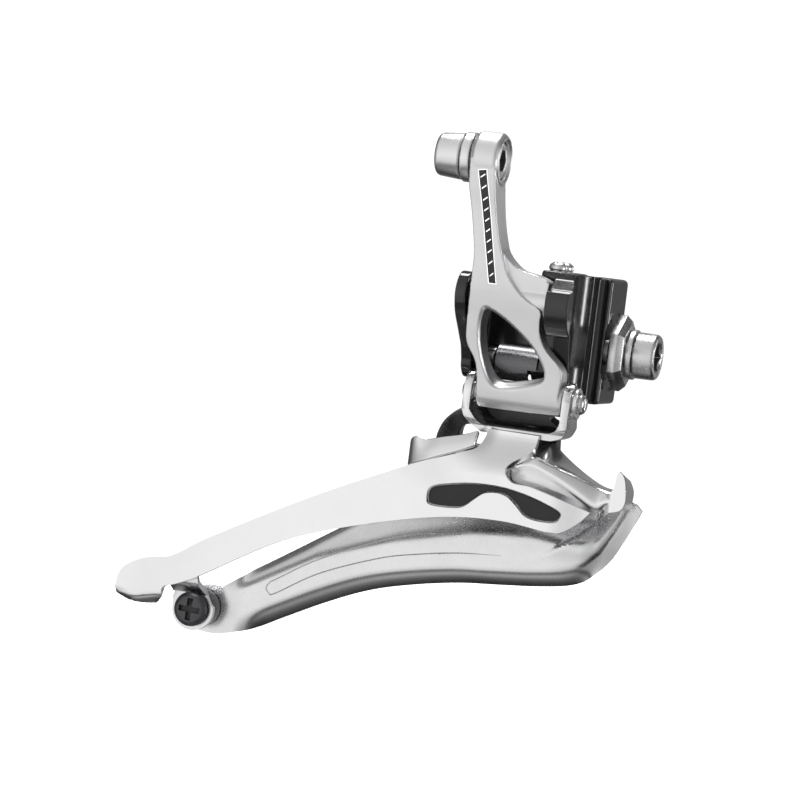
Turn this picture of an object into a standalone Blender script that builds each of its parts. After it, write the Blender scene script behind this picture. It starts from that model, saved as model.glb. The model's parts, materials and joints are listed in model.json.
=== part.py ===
"""Braze-on road front derailleur: fixed body, outer arm, inner link and chain cage.

World frame: the fixing bolt's axis is the X axis and the body's seat on the frame tab
is the plane X = 0.  +X points forward on the bicycle, +Z up, +Y towards the frame.
Every size below is in millimetres; MM turns it into metres where geometry is made.
"""

from math import cos, pi, radians, sin

import bmesh
import bpy
from mathutils import Matrix, Vector

MM = 0.001
CLEAR = 0.3                 # gap kept between pieces that touch or turn on each other

# Linkage: an exact parallelogram in the Y-Z plane, drawn in its innermost position.
ARM_PIVOT = (-22.0, 8.0)    # outer arm on the body, (y, z)
LINK_OFFSET = (9.0, -12.0)  # from an outer-arm pivot to the inner link's matching pivot
LINK_LENGTH = 18.2
REST_LEAN = radians(13.0)
LEAN = (sin(REST_LEAN), -cos(REST_LEAN))
CAGE_PIVOT = (ARM_PIVOT[0] + LINK_LENGTH * LEAN[0], ARM_PIVOT[1] + LINK_LENGTH * LEAN[1])
LINK_PIVOT = (ARM_PIVOT[0] + LINK_OFFSET[0], ARM_PIVOT[1] + LINK_OFFSET[1])
TAIL_PIVOT = (CAGE_PIVOT[0] + LINK_OFFSET[0], CAGE_PIVOT[1] + LINK_OFFSET[1])
PIN_RADIUS = 1.75
PIN_HOLE = PIN_RADIUS + CLEAR
BARREL_RADIUS = 2.8

# Fixed body.
SEAT_HALF_WIDTH = 6.5
BLOCK_THICK = 6.0
BODY_TOP = 13.6
BODY_FOOT = -10.0
FRONT_EAR = (-6.8, -2.4)    # inner and outer face of the ear beside the seat, x
REAR_EAR = (-24.4, -22.4)   # outer and inner face of the other ear, x
PIN_HOLE_END = -4.6         # the upper pins' holes stop inside the front ear, x
WEB_DEPTH = (-8.0, -4.0)    # the wall that joins the ears, y
SPOT_FACE_RADIUS = 7.4
SPOT_FACE_DEPTH = 0.3
LIMIT_SCREW_X = -8.7
LIMIT_SCREW_DEPTHS = {"low_limit_screw": -13.9, "high_limit_screw": -9.3}

SPRING_COVER_RADIUS = 3.4

# Fixing bolt (M5 socket head) and what is threaded on it, along +X.
BOLT_RADIUS = 2.4
BOLT_HEAD = (4.9, 8.9)
BOLT_HEAD_RADIUS = 4.25
HEX_WASHER = (0.6, 3.3)
HEX_ACROSS_CORNERS = 14.4
BOLT_WASHER = (3.6, 4.6)

# Outer arm.
CLAMP_AXIS = (-24.0, 32.7)  # cable clamp bolt, (y, z)
BOSS_X = (-23.9, -18.3)
BOSS_RADIUS = 5.1
ARM_BARREL_X = (-22.1, -7.1)
FOOT_BARREL_X = (-19.5, -3.3)

# Chain cage.
SHEET = 1.2
OUTER_PLATE_Y = -25.5
INNER_PLATE_Y = -12.6
BRACKET_EARS = ((-21.7, -20.3), (-2.9, -1.5))
BRACKET_FLOOR = (-17.0, -15.7)
TAIL_SCREW = (-69.3, -57.6)  # (x, z)


# ---------------------------------------------------------------- small tools

def collection(name):
    new = bpy.data.collections.new(name)
    bpy.context.scene.collection.children.link(new)
    return new


def material(name, colour, roughness, metallic):
    new = bpy.data.materials.new(name)
    new.use_nodes = True
    shader = new.node_tree.nodes["Principled BSDF"]
    shader.inputs["Base Color"].default_value = (*colour, 1.0)
    shader.inputs["Roughness"].default_value = roughness
    shader.inputs["Metallic"].default_value = metallic
    return new


def link_to(obj, group):
    for old in list(obj.users_collection):
        old.objects.unlink(obj)
    group.objects.link(obj)
    return obj


def mesh_object(name, mesh):
    obj = bpy.data.objects.new(name, mesh)
    bpy.context.scene.collection.objects.link(obj)
    return obj


def as_mesh(obj):
    """The evaluated shape as a plain welded mesh in world space, replacing the object."""
    bpy.context.view_layer.update()
    evaluated = obj.evaluated_get(bpy.context.evaluated_depsgraph_get())
    mesh = bpy.data.meshes.new_from_object(evaluated)
    mesh.transform(obj.matrix_world)
    name = obj.name
    bpy.data.objects.remove(obj)
    shape = bmesh.new()
    shape.from_mesh(mesh)
    bmesh.ops.remove_doubles(shape, verts=shape.verts, dist=0.00001)
    bmesh.ops.recalc_face_normals(shape, faces=shape.faces)
    shape.to_mesh(mesh)
    shape.free()
    return mesh_object(name, mesh)


def smooth_line(points, steps=3, closed=False):
    """Points of a Catmull-Rom curve that passes through every given point."""
    count = len(points)
    spans = count if closed else count - 1
    line = []
    for span in range(spans):
        if closed:
            four = [points[(span + k - 1) % count] for k in range(4)]
        else:
            four = [points[min(max(span + k - 1, 0), count - 1)] for k in range(4)]
        before, start, end, after = (Vector(p) for p in four)
        for step in range(steps):
            t = step / steps
            line.append(0.5 * (2 * start + (end - before) * t
                               + (2 * before - 5 * start + 4 * end - after) * t * t
                               + (3 * start - before - 3 * end + after) * t ** 3))
    if not closed:
        line.append(Vector(points[-1]))
    return line


def arc(centre, radius, start, end, steps=6):
    """Points on a circle from one angle to another, in degrees."""
    points = []
    for step in range(steps + 1):
        angle = radians(start + (end - start) * step / steps)
        points.append((centre[0] + radius * cos(angle), centre[1] + radius * sin(angle)))
    return points


def inset(loop, distance):
    """A closed outline, listed clockwise, moved inwards."""
    points = [Vector(place) for place in loop]
    moved = []
    for k, point in enumerate(points):
        run = (points[(k + 1) % len(points)] - points[k - 1]).normalized()
        moved.append(point + Vector((run.y, -run.x)) * distance)
    return moved


def ramp(value, start, end):
    """0 before start, 1 after end, and an S-shaped rise between."""
    t = min(max((value - start) / (end - start), 0.0), 1.0)
    return t * t * (3 - 2 * t)


PLANES = {
    "XZ": Matrix(((1, 0, 0, 0), (0, 0, -1, 0), (0, 1, 0, 0), (0, 0, 0, 1))),
    "YZ": Matrix(((0, 0, 1, 0), (1, 0, 0, 0), (0, 1, 0, 0), (0, 0, 0, 1))),
}
AXIS_TURN = {
    "X": Matrix.Rotation(pi / 2, 4, "Y"),
    "Y": Matrix.Rotation(-pi / 2, 4, "X"),
    "Z": Matrix.Identity(4),
}


def plate(name, loops, plane, near, far):
    """A flat outline, with any holes, filled and extruded from near to far."""
    data = bpy.data.curves.new(name, "CURVE")
    data.dimensions = "2D"
    data.fill_mode = "BOTH"
    data.extrude = abs(far - near) / 2 * MM
    for loop in loops:
        spline = data.splines.new("POLY")
        spline.points.add(len(loop) - 1)
        for point, place in zip(spline.points, loop):
            point.co = (place[0] * MM, place[1] * MM, 0.0, 1.0)
        spline.use_cyclic_u = True
    obj = bpy.data.objects.new(name, data)
    bpy.context.scene.collection.objects.link(obj)
    middle = (near + far) / 2 * MM
    shift = (0.0, middle, 0.0) if plane == "XZ" else (middle, 0.0, 0.0)
    obj.matrix_world = Matrix.Translation(shift) @ PLANES[plane]
    return as_mesh(obj)


def rod(name, radius, start, end, axis, across, sides=20):
    """A round bar along one world axis; across is its place on the other two axes."""
    place = list(across)
    place.insert("XYZ".index(axis), (start + end) / 2)
    bpy.ops.mesh.primitive_cylinder_add(vertices=sides, radius=radius * MM,
                                        depth=abs(end - start) * MM)
    obj = bpy.context.object
    obj.name = name
    obj.matrix_world = Matrix.Translation(Vector(place) * MM) @ AXIS_TURN[axis]
    return obj


def turned(name, profile, axis, across, sides=24):
    """A turned piece: profile is (radius, place along the axis), top end first."""
    mesh = bpy.data.meshes.new(name)
    obj = mesh_object(name, mesh)
    points = [(radius * MM, 0.0, along * MM) for radius, along in profile]
    mesh.from_pydata(points, [(k, k + 1) for k in range(len(points) - 1)], [])
    screw = obj.modifiers.new("Turn", "SCREW")
    screw.steps = sides
    screw.render_steps = sides
    screw.use_merge_vertices = True
    screw.merge_threshold = 0.00001
    place = list(across)
    place.insert("XYZ".index(axis), 0.0)
    obj.matrix_world = Matrix.Translation(Vector(place) * MM) @ AXIS_TURN[axis]
    return as_mesh(obj)


def box(name, low, high, bevel=0.0):
    size = [(b - a) * MM for a, b in zip(low, high)]
    bpy.ops.mesh.primitive_cube_add(size=1.0)
    obj = bpy.context.object
    obj.name = name
    obj.data.transform(Matrix.Diagonal((*size, 1.0)))
    obj.location = [(a + b) / 2 * MM for a, b in zip(low, high)]
    if bevel:
        edges = obj.modifiers.new("Edges", "BEVEL")
        edges.width = bevel * MM
        edges.segments = 2
    return obj


def combine(target, others, operation):
    """Boolean modifiers on target; the other shapes become hidden guides."""
    for other in others:
        step = target.modifiers.new(other.name, "BOOLEAN")
        step.operation = operation
        step.object = other
        link_to(other, GUIDES)
        other.hide_render = True
        other.display_type = "WIRE"
    return target


def cut(target, cutters):
    return combine(target, cutters, "DIFFERENCE")


def join(target, others):
    return combine(target, others, "UNION")


def bend(obj, x_cuts, z_cuts, shape):
    """Slices a plate into a grid, then moves each vertex with shape(x, y, z) in mm."""
    grid = bmesh.new()
    grid.from_mesh(obj.data)
    slices = [((x * MM, 0, 0), (1, 0, 0)) for x in x_cuts]
    slices += [((0, 0, z * MM), (0, 0, 1)) for z in z_cuts]
    for place, normal in slices:
        everything = grid.verts[:] + grid.edges[:] + grid.faces[:]
        bmesh.ops.bisect_plane(grid, geom=everything, dist=0.0000001,
                               plane_co=place, plane_no=normal)
    bmesh.ops.triangulate(grid, faces=grid.faces)
    for vert in grid.verts:
        vert.co = Vector(shape(*(vert.co / MM))) * MM
    grid.to_mesh(obj.data)
    grid.free()
    return obj


def shell(name, rows, thickness):
    """A sheet-metal skin through a grid of points, thickened equally on both sides."""
    width = len(rows[0])
    points = [Vector(point) * MM for row in rows for point in row]
    faces = []
    for i in range(len(rows) - 1):
        for j in range(width - 1):
            first = i * width + j
            faces.append((first, first + 1, first + width + 1, first + width))
    mesh = bpy.data.meshes.new(name)
    mesh.from_pydata(points, [], faces)
    obj = mesh_object(name, mesh)
    solid = obj.modifiers.new("Sheet", "SOLIDIFY")
    solid.thickness = thickness * MM
    solid.offset = 0.0
    solid.use_even_offset = True
    return as_mesh(obj)


# ---------------------------------------------------------------- fixed body

def body_pieces():
    block = box("support_body", (-BLOCK_THICK, -SEAT_HALF_WIDTH, BODY_FOOT),
                (0.0, SEAT_HALF_WIDTH, BODY_TOP), bevel=0.7)
    front_outline = (
        [(-5.0, BODY_TOP), (-18.5, 13.9), (-22.5, 13.3), (-25.3, 11.6)]
        + arc(ARM_PIVOT, 6.0, 165, 305, 8)
        + [(-16.75, -3.9)]
        + arc(LINK_PIVOT, 3.6, 190, 290, 5)
        + [(-8.5, -9.6), (-5.0, -9.6)])
    front = plate("front_ear", [front_outline], "YZ", *FRONT_EAR)
    rear_outline = (
        [(-5.0, 11.0), (-15.0, 11.8)]
        + arc(ARM_PIVOT, 4.0, 80, 205, 8)
        + [(-22.6, 2.6), (-19.0, -0.6)]
        + arc(LINK_PIVOT, 3.7, 190, 300, 6)
        + [(-5.0, -4.0)])
    rear = plate("rear_ear", [rear_outline], "YZ", *REAR_EAR)
    web = box("web", (REAR_EAR[0] + 0.4, WEB_DEPTH[0], -2.5), (-4.0, WEB_DEPTH[1], 11.5), 0.6)
    screw_tab = box("screw_tab", (-11.2, -16.3, 9.6), (-5.0, -5.0, 13.9), 0.5)
    join(block, [front, rear, web, screw_tab])

    flute = rod("flute", 17.8, -12.0, 15.0, "Z", (14.0, -17.6), 96)
    groove = rod("groove", 1.1, -12.0, 15.0, "Z", (-1.6, -7.1), 12)
    spot_face = rod("spot_face", SPOT_FACE_RADIUS, -SPOT_FACE_DEPTH, 2.0, "X", (0, 0), 32)
    bolt_hole = rod("bolt_hole", BOLT_RADIUS + CLEAR, -8.0, 2.0, "X", (0, 0))
    cutters = [flute, groove, spot_face, bolt_hole]
    for name, pivot in (("arm_pin_hole", ARM_PIVOT), ("link_pin_hole", LINK_PIVOT)):
        cutters.append(rod(name, PIN_HOLE, -30.0, PIN_HOLE_END, "X", pivot, 16))
    for name, depth in LIMIT_SCREW_DEPTHS.items():
        cutters.append(rod(name + "_hole", 1.5 + CLEAR, 5.0, 16.0, "Z",
                           (LIMIT_SCREW_X, depth), 14))
    cut(block, cutters)
    return [block]


def fixing_bolt():
    head_end, tip = BOLT_HEAD[1], -6.5
    profile = [(0.0, head_end), (3.4, head_end), (BOLT_HEAD_RADIUS, head_end - 0.8),
               (BOLT_HEAD_RADIUS + 0.1, BOLT_HEAD[0]), (BOLT_RADIUS, BOLT_HEAD[0]),
               (BOLT_RADIUS, tip + 0.6), (BOLT_RADIUS - 0.6, tip), (0.0, tip)]
    bolt = turned("fixing_bolt", profile, "X", (0.0, 0.0))
    socket = rod("fixing_bolt_socket", 2.31, head_end - 3.0, head_end + 1.0, "X",
                 (0.0, 0.0), 6)
    return cut(bolt, [socket])


def washer(name, radius, hole, start, end, axis, across, sides=24):
    ring = rod(name, radius, start, end, axis, across, sides)
    bore = rod(name + "_bore", hole, start - 1.0, end + 1.0, axis, across, 20)
    return cut(ring, [bore])


def tab_hex_washer():
    """Hexagonal washer with a flat to the front, chamfered at the bolt's side."""
    radius, (start, end) = HEX_ACROSS_CORNERS / 2, HEX_WASHER
    outline = arc((0.0, 0.0), radius, 90, 390, 5)
    hexagon = plate("tab_hex_washer", [outline], "YZ", start, end)
    cone = turned("hex_cone", [(0.0, end), (radius - 1.0, end), (radius + 0.1, end - 1.3),
                               (radius + 0.1, start - 1.0), (0.0, start - 1.0)],
                  "X", (0.0, 0.0), 36)
    combine(hexagon, [cone], "INTERSECT")
    return cut(hexagon, [rod("hex_bore", BOLT_RADIUS + CLEAR, start - 2, end + 2, "X", (0, 0))])


def limit_screw(name, depth):
    """Cross-slotted adjusting screw standing in the body's top tab."""
    head = BODY_TOP + 0.3 + CLEAR
    profile = [(0.0, head + 1.5), (1.1, head + 1.4), (1.8, head + 0.8), (1.9, head),
               (1.5, head), (1.5, 8.0), (1.0, 7.5), (0.0, 7.5)]
    screw = turned(name, profile, "Z", (LIMIT_SCREW_X, depth), 16)
    slots = []
    for turn, size in (("a", (1.3, 0.25)), ("b", (0.25, 1.3))):
        slots.append(box(name + "_slot_" + turn,
                         (LIMIT_SCREW_X - size[0], depth - size[1], head + 0.6),
                         (LIMIT_SCREW_X + size[0], depth + size[1], head + 2.5)))
    return cut(screw, slots)


def pivot_pin(name, pivot, start, end, sides=16):
    """A plain pin with a chamfer at both ends."""
    chamfer = 0.35
    profile = [(0.0, end), (PIN_RADIUS - chamfer, end), (PIN_RADIUS, end - chamfer),
               (PIN_RADIUS, start + chamfer), (PIN_RADIUS - chamfer, start), (0.0, start)]
    return turned(name, profile, "X", pivot, sides)


def lower_outer_pin():
    """Riveted pin of the cage on the outer arm, with its domed head outside the ear."""
    profile = [(0.0, 0.9), (1.1, 0.8), (1.8, 0.3), (1.9, -0.3), (PIN_RADIUS, -0.3),
               (PIN_RADIUS, -22.2), (PIN_RADIUS - 0.5, -22.7), (0.0, -22.7)]
    return turned("lower_outer_pin", profile, "X", CAGE_PIVOT, 18)


def return_spring():
    """Torsion coil round the inner link's upper pin: one leg on the web, one on the link."""
    turns, per_turn, radius, wire = 5.75, 12, 2.38, 0.3
    first, pitch = -17.3, 0.93
    centre = Vector((0.0, *LINK_PIVOT))
    foot = centre.z - radius
    points = [Vector((first, -8.8, -1.4)), Vector((first, -8.8, foot + 1.2)),
              Vector((first, -9.8, foot))]
    for step in range(int(turns * per_turn) + 1):
        angle = radians(270) - 2 * pi * step / per_turn
        along = first + pitch * step / per_turn
        points.append(Vector((along, centre.y + radius * cos(angle),
                              centre.z + radius * sin(angle))))
    points.append(centre + Vector((points[-1].x, 3.3, -2.6)))
    points.append(centre + Vector((points[-1].x, 3.9, -5.6)))
    data = bpy.data.curves.new("return_spring", "CURVE")
    data.dimensions = "3D"
    data.bevel_depth = wire * MM
    data.bevel_resolution = 1
    data.use_fill_caps = True
    spline = data.splines.new("POLY")
    spline.points.add(len(points) - 1)
    for point, place in zip(spline.points, points):
        point.co = (*(place * MM), 1.0)
    obj = bpy.data.objects.new("return_spring", data)
    bpy.context.scene.collection.objects.link(obj)
    return as_mesh(obj)


def spring_cover():
    """Half-round cover over the front and top of the coil, open behind for its legs."""
    pieces = []
    for start, end, foot in ((-17.9, -11.6, 255), (-11.9, -9.9, 195)):
        section = (arc(LINK_PIVOT, SPRING_COVER_RADIUS, 75, foot, 14)
                   + arc(LINK_PIVOT, SPRING_COVER_RADIUS - 0.4, foot, 75, 14))
        pieces.append(plate("spring_cover", [section], "YZ", start, end))
    return join(pieces[0], pieces[1:])


# ---------------------------------------------------------------- outer arm

ARM_SECTION = (             # z, front face y, back face y
    (38.0, -29.0, -21.6), (32.7, -29.0, -21.4), (28.0, -28.3, -21.0), (23.0, -27.3, -20.6),
    (15.0, -26.3, -19.8), (9.0, -25.4, -19.4), (3.0, -23.9, -19.0), (-5.0, -21.9, -17.4),
    (-10.5, -20.6, -16.0), (-12.6, -19.4, -15.7))


def arm_face(z, side):
    """Depth of the arm's front (side 1) or back (side 2) face at a height."""
    for upper, lower in zip(ARM_SECTION, ARM_SECTION[1:]):
        if z >= lower[0]:
            t = (upper[0] - z) / (upper[0] - lower[0])
            return upper[side] + (lower[side] - upper[side]) * max(t, 0.0)
    return ARM_SECTION[-1][side]


def outer_arm():
    left = smooth_line([(-23.7, 32.6), (-23.6, 28.0), (-22.9, 24.0), (-22.0, 18.7), (-21.6, 12.0),
                        (-22.0, 5.0), (-22.0, -0.9), (-20.2, -4.3), (-19.6, -7.5),
                        (-19.5, -11.7)], 2)
    foot = [(-18.9, -12.5), (-4.4, -12.3)]
    right = smooth_line([(-3.8, -11.5), (-3.9, -8.5), (-3.5, -5.2), (-4.2, -3.2),
                         (-6.6, -0.8), (-7.9, 1.3), (-8.3, 4.0), (-8.3, 7.0)], 2)
    wing = [(-7.4, 9.6), (-7.3, 11.2)]
    back = smooth_line([(-9.8, 12.5), (-13.4, 13.1), (-16.3, 15.3), (-18.0, 19.4),
                        (-18.1, 24.0), (-18.8, 29.0), (-18.9, 32.6)], 2)
    window = smooth_line([(-18.9, 5.4), (-17.4, 5.5), (-14.1, 3.8), (-10.1, 0.5),
                          (-7.9, -2.4), (-6.9, -5.2), (-8.6, -6.5), (-13.1, -7.7),
                          (-15.9, -7.8), (-17.4, -6.0), (-18.9, -1.9), (-19.4, 2.0)],
                         2, closed=True)
    arm = plate("outer_arm", [left + foot + right + wing + back, window], "XZ", -1.0, 1.0)
    bend(arm, [], [row[0] for row in ARM_SECTION[1:-1]] + [-6.0],
         lambda x, y, z: (x, arm_face(z, 1 if y < 0 else 2), z))
    boss = rod("arm_boss", BOSS_RADIUS, *BOSS_X, "X", CLAMP_AXIS, 28)
    barrel = rod("arm_barrel", BARREL_RADIUS, *ARM_BARREL_X, "X", ARM_PIVOT, 20)
    foot_barrel = rod("arm_foot", BARREL_RADIUS, *FOOT_BARREL_X, "X", CAGE_PIVOT, 20)
    stop = box("arm_stop", (-10.4, -20.5, 5.2), (-8.1, -12.6, 7.0))
    join(arm, [boss, barrel, foot_barrel, stop])
    cut(arm, [
        rod("arm_boss_recess", 3.7, -20.9, -15.0, "X", CLAMP_AXIS, 24),
        rod("arm_boss_bore", 2.5 + CLEAR, -28.0, -19.0, "X", CLAMP_AXIS, 18),
        rod("arm_barrel_bore", PIN_HOLE, -30.0, 1.0, "X", ARM_PIVOT, 16),
        rod("arm_bush_seat_left", 2.4, -24.0, -20.1, "X", ARM_PIVOT, 16),
        rod("arm_bush_seat_right", 2.4, -9.1, -6.0, "X", ARM_PIVOT, 16),
        rod("arm_foot_bore", PIN_HOLE, -30.0, 1.0, "X", CAGE_PIVOT, 16)])
    return arm


def clamp_pieces():
    """Cable clamp: cone-shaped barrel, grooved washer and the bolt through the boss."""
    barrel = turned("cable_clamp_barrel",
                    [(0.0, -29.4), (2.8, -29.4), (2.8, -26.2), (4.2, -26.2), (4.3, -26.5),
                     (3.8, -30.2), (3.1, -30.9), (0.0, -31.0)], "X", CLAMP_AXIS, 28)
    grip = washer("cable_clamp_washer", 4.6, 2.8, -25.9, -24.2, "X", CLAMP_AXIS, 28)
    bolt = turned("cable_clamp_bolt",
                  [(0.0, -18.9), (3.0, -18.9), (3.3, -19.2), (3.3, -20.6), (2.5, -20.6),
                   (2.5, -28.6), (2.0, -29.1), (0.0, -29.1)], "X", CLAMP_AXIS, 24)
    cut(bolt, [rod("cable_clamp_socket", 1.9, -20.4, -18.0, "X", CLAMP_AXIS, 6)])
    return barrel, grip, bolt


# ---------------------------------------------------------------- inner link

def inner_link():
    """Forked link: drawn flat under its upper pivot, then leaned to the rest angle."""
    drop = LINK_LENGTH
    outline = (
        [(-22.1, 0.0), (-18.3, 0.0), (-18.3, -4.4), (-11.2, -4.4), (-11.2, 0.0), (-7.1, 0.0),
         (-7.1, -9.6), (-5.5, -10.6), (-5.5, -drop), (-10.2, -drop)]
        + smooth_line([(-10.2, -14.6), (-11.6, -12.7), (-14.0, -12.3)], 2)
        + smooth_line([(-20.5, -12.3), (-23.3, -12.6), (-24.5, -14.4), (-24.8, -drop)], 3)
        + smooth_line([(-29.0, -drop), (-28.9, -15.4), (-27.6, -12.4), (-25.4, -10.4),
                       (-22.1, -9.2)], 3))
    link = plate("inner_link", [[(p[0], p[1]) for p in outline]], "XZ", -1.6, 1.6)
    lean = (Matrix.Translation(Vector((0.0, *LINK_PIVOT)) * MM)
            @ Matrix.Rotation(REST_LEAN, 4, "X"))
    link.data.transform(lean)
    barrels = [rod("link_barrel_rear", BARREL_RADIUS - 0.1, -22.1, -18.3, "X", LINK_PIVOT, 18),
               rod("link_barrel_front", BARREL_RADIUS - 0.1, -11.2, -7.1, "X", LINK_PIVOT, 18),
               rod("link_foot_rear", 2.6, -29.0, -24.8, "X", TAIL_PIVOT, 18),
               rod("link_foot_front", 2.6, -10.2, -5.5, "X", TAIL_PIVOT, 18)]
    join(link, barrels)
    room = rod("link_spring_room", SPRING_COVER_RADIUS + CLEAR, -18.3, -11.2, "X", LINK_PIVOT, 20)
    cut(link, [room,
               rod("link_pin_bore", PIN_HOLE, -30.0, 1.0, "X", LINK_PIVOT, 16),
               rod("link_foot_bore", PIN_HOLE, -31.0, 1.0, "X", TAIL_PIVOT, 16)])
    return link


# ---------------------------------------------------------------- chain cage

def outer_plate_depth(x, y, z):
    """The outer plate leans in at its neck and a little at the tail and nose."""
    neck = 4.2 * ramp(z, -24.5, -16.5) * ramp(x, -23.0, -13.5)
    shoulder = 0.9 * ramp(z + 0.45 * x, -41.0, -30.0) * (1 - ramp(x, -24.0, -10.0))
    tail = 1.4 * ramp(-x, 55.0, 84.0) ** 2
    nose = 1.0 * ramp(x, -2.0, 6.0)
    fold = max(-54.9 - 0.3 * (x + 84.7), -56.2 - 0.3 * abs(x + 80.3))
    if x > -80.3:
        fold = -56.2 + 0.26 * (x + 80.3)
    lip = 2.0 * ramp(fold - z, 0.0, 2.2) * (1 - ramp(x, -76.0, -73.0))
    return (x, y + neck + shoulder + tail + nose + lip, z)


WINDOW = (                  # (x, z) round the window in the outer plate
    (-24.9, -30.2), (-24.4, -27.9), (-20.6, -26.8), (-15.8, -26.1), (-10.9, -26.1),
    (-6.9, -26.7), (-2.9, -27.8), (0.2, -29.1), (0.4, -30.4), (-0.7, -31.3), (-3.9, -31.4),
    (-6.2, -30.8), (-8.0, -29.2), (-9.7, -27.9), (-11.7, -27.4), (-14.1, -27.8),
    (-15.8, -29.1), (-17.8, -30.8), (-20.0, -31.3), (-24.0, -31.3))


def outer_cage_plate():
    top = smooth_line([(-84.0, -55.0), (-83.0, -51.6), (-79.0, -49.1), (-73.0, -47.7),
                       (-66.0, -43.3), (-48.0, -33.5), (-30.7, -25.3), (-20.5, -21.3),
                       (-17.2, -19.9), (-15.9, -16.2)], 3)
    slot = smooth_line([(-6.4, -16.3), (-6.9, -19.6), (-9.9, -21.9), (-10.8, -23.4),
                        (-9.2, -25.1), (-5.7, -25.5), (0.2, -27.0), (5.7, -28.6)], 3)
    bottom = smooth_line([(4.4, -30.2), (1.3, -32.6), (-1.5, -33.1), (-10.5, -32.3),
                          (-22.0, -33.2), (-37.0, -36.8), (-52.0, -42.1), (-66.8, -50.6),
                          (-71.5, -52.9), (-74.0, -53.8), (-74.5, -55.4), (-75.9, -56.9),
                          (-80.5, -57.1), (-83.6, -56.0)], 3)
    window = smooth_line(WINDOW, 2, closed=True)
    half = SHEET / 2
    obj = plate("outer_cage_plate", [top + slot + bottom, window], "XZ",
                OUTER_PLATE_Y - half, OUTER_PLATE_Y + half)
    heights = [-19.5, -21.5, -23.5, -28.0, -35.0, -42.0, -49.0, -54.8, -55.8]
    return bend(obj, range(-80, 6, 7), heights, outer_plate_depth)


def window_inlay():
    """Thin filler set into the outer plate's window, a little below its face."""
    outline = inset(smooth_line(WINDOW, 2, closed=True), CLEAR)
    inlay = plate("window_inlay", [outline], "XZ", OUTER_PLATE_Y - 0.1, OUTER_PLATE_Y + 0.6)
    return bend(inlay, range(-23, 0, 4), [-28.0], outer_plate_depth)


INNER_COLUMNS = (           # (x, z) of the top edge, (x, z) of the rim below or before it
    ((-73.8, -57.0), (-73.8, -58.4)), ((-72.4, -54.9), (-72.4, -60.9)),
    ((-69.5, -53.4), (-69.5, -62.2)), ((-66.2, -53.2), (-65.5, -62.2)),
    ((-63.5, -51.6), (-61.0, -60.8)), ((-57.5, -47.8), (-54.6, -57.4)),
    ((-50.5, -43.2), (-46.0, -53.0)), ((-43.6, -38.6), (-38.0, -49.6)),
    ((-36.0, -33.6), (-30.0, -47.4)), ((-28.5, -28.9), (-21.0, -45.7)),
    ((-21.0, -26.4), (-13.0, -44.9)), ((-13.0, -25.7), (-5.5, -44.1)),
    ((-6.0, -25.5), (0.5, -43.0)), ((-0.5, -25.6), (4.6, -41.0)),
    ((4.0, -26.0), (7.7, -37.9)), ((7.2, -26.3), (10.0, -33.9)),
    ((9.6, -26.6), (11.6, -30.3)), ((11.2, -26.9), (12.4, -28.0)))
INNER_ROWS = (0.0, 0.1, 0.22, 0.36, 0.52, 0.68, 0.8, 0.9, 1.0)


def line_gap(line, x, z):
    """Shortest distance from a place to a run of straight pieces."""
    spot, gap = Vector((x, z)), 1000.0
    for start, end in zip(line, line[1:]):
        first, run = Vector(start), Vector(end) - Vector(start)
        t = min(max((spot - first).dot(run) / run.length_squared, 0.0), 1.0)
        gap = min(gap, (spot - first - run * t).length)
    return gap


def inner_plate_depth(x, z, top_gap, rim_gap, row):
    """Tail tab in front, lower half stepped towards the chain, edges rolled away."""
    body = ramp(x, -66.0, -61.0)
    nose = ramp(x, 1.0, 6.0)
    depth = -14.8 + (INNER_PLATE_Y + 14.8) * body
    depth -= 1.9 * ramp(row, 0.15, 0.5) * body * (1 - ramp(x, 0.0, 12.0))
    rolled = ramp(x, -63.0, -57.0)
    depth += 3.0 * rolled * (1 - nose) * max(0.0, 1 - rim_gap / 3.2) ** 2
    depth += 1.6 * rolled * (1 - ramp(x, -40.0, -33.0)) * max(0.0, 1 - top_gap / 2.5) ** 2
    rim = [column[1] for column in INNER_COLUMNS[-6:]]
    return depth + 1.0 * nose * (1 - ramp(line_gap(rim, x, z), 2.3, 3.1))


def inner_cage_plate():
    tops = smooth_line([column[0] for column in INNER_COLUMNS], 2)
    rims = smooth_line([column[1] for column in INNER_COLUMNS], 2)
    rows = []
    for top, rim in zip(tops, rims):
        height = (rim - top).length
        line = []
        for row in INNER_ROWS:
            place = top.lerp(rim, row)
            depth = inner_plate_depth(place.x, place.y, row * height, (1 - row) * height, row)
            line.append((place.x, depth, place.y))
        rows.append(line)
    obj = shell("inner_cage_plate", rows, 1.0)
    return cut(obj, [rod("inner_plate_screw_hole", 1.5 + CLEAR, -18.0, -11.0, "Y",
                         TAIL_SCREW, 16)])


def tail_tab():
    """Joggled tab that carries the outer plate's tail down to the screw."""
    neck = smooth_line([(-68.3, -50.6), (-67.6, -53.0), (-65.9, -56.3)], 2)
    ring = arc(TAIL_SCREW, 4.1, 10, -190, 14)
    outline = [(-73.9, -52.0), *neck, *ring, (-73.6, -54.6)]
    hole = arc(TAIL_SCREW, 1.5 + CLEAR, 0, 337.5, 15)
    tab = plate("outer_plate_tail_tab", [outline, hole], "XZ", -23.7, -22.6)
    return bend(tab, [], [-52.2, -53.4, -54.6],
                lambda x, y, z: (x, y + 2.6 * ramp(-z, 52.2, 54.6), z))


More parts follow.
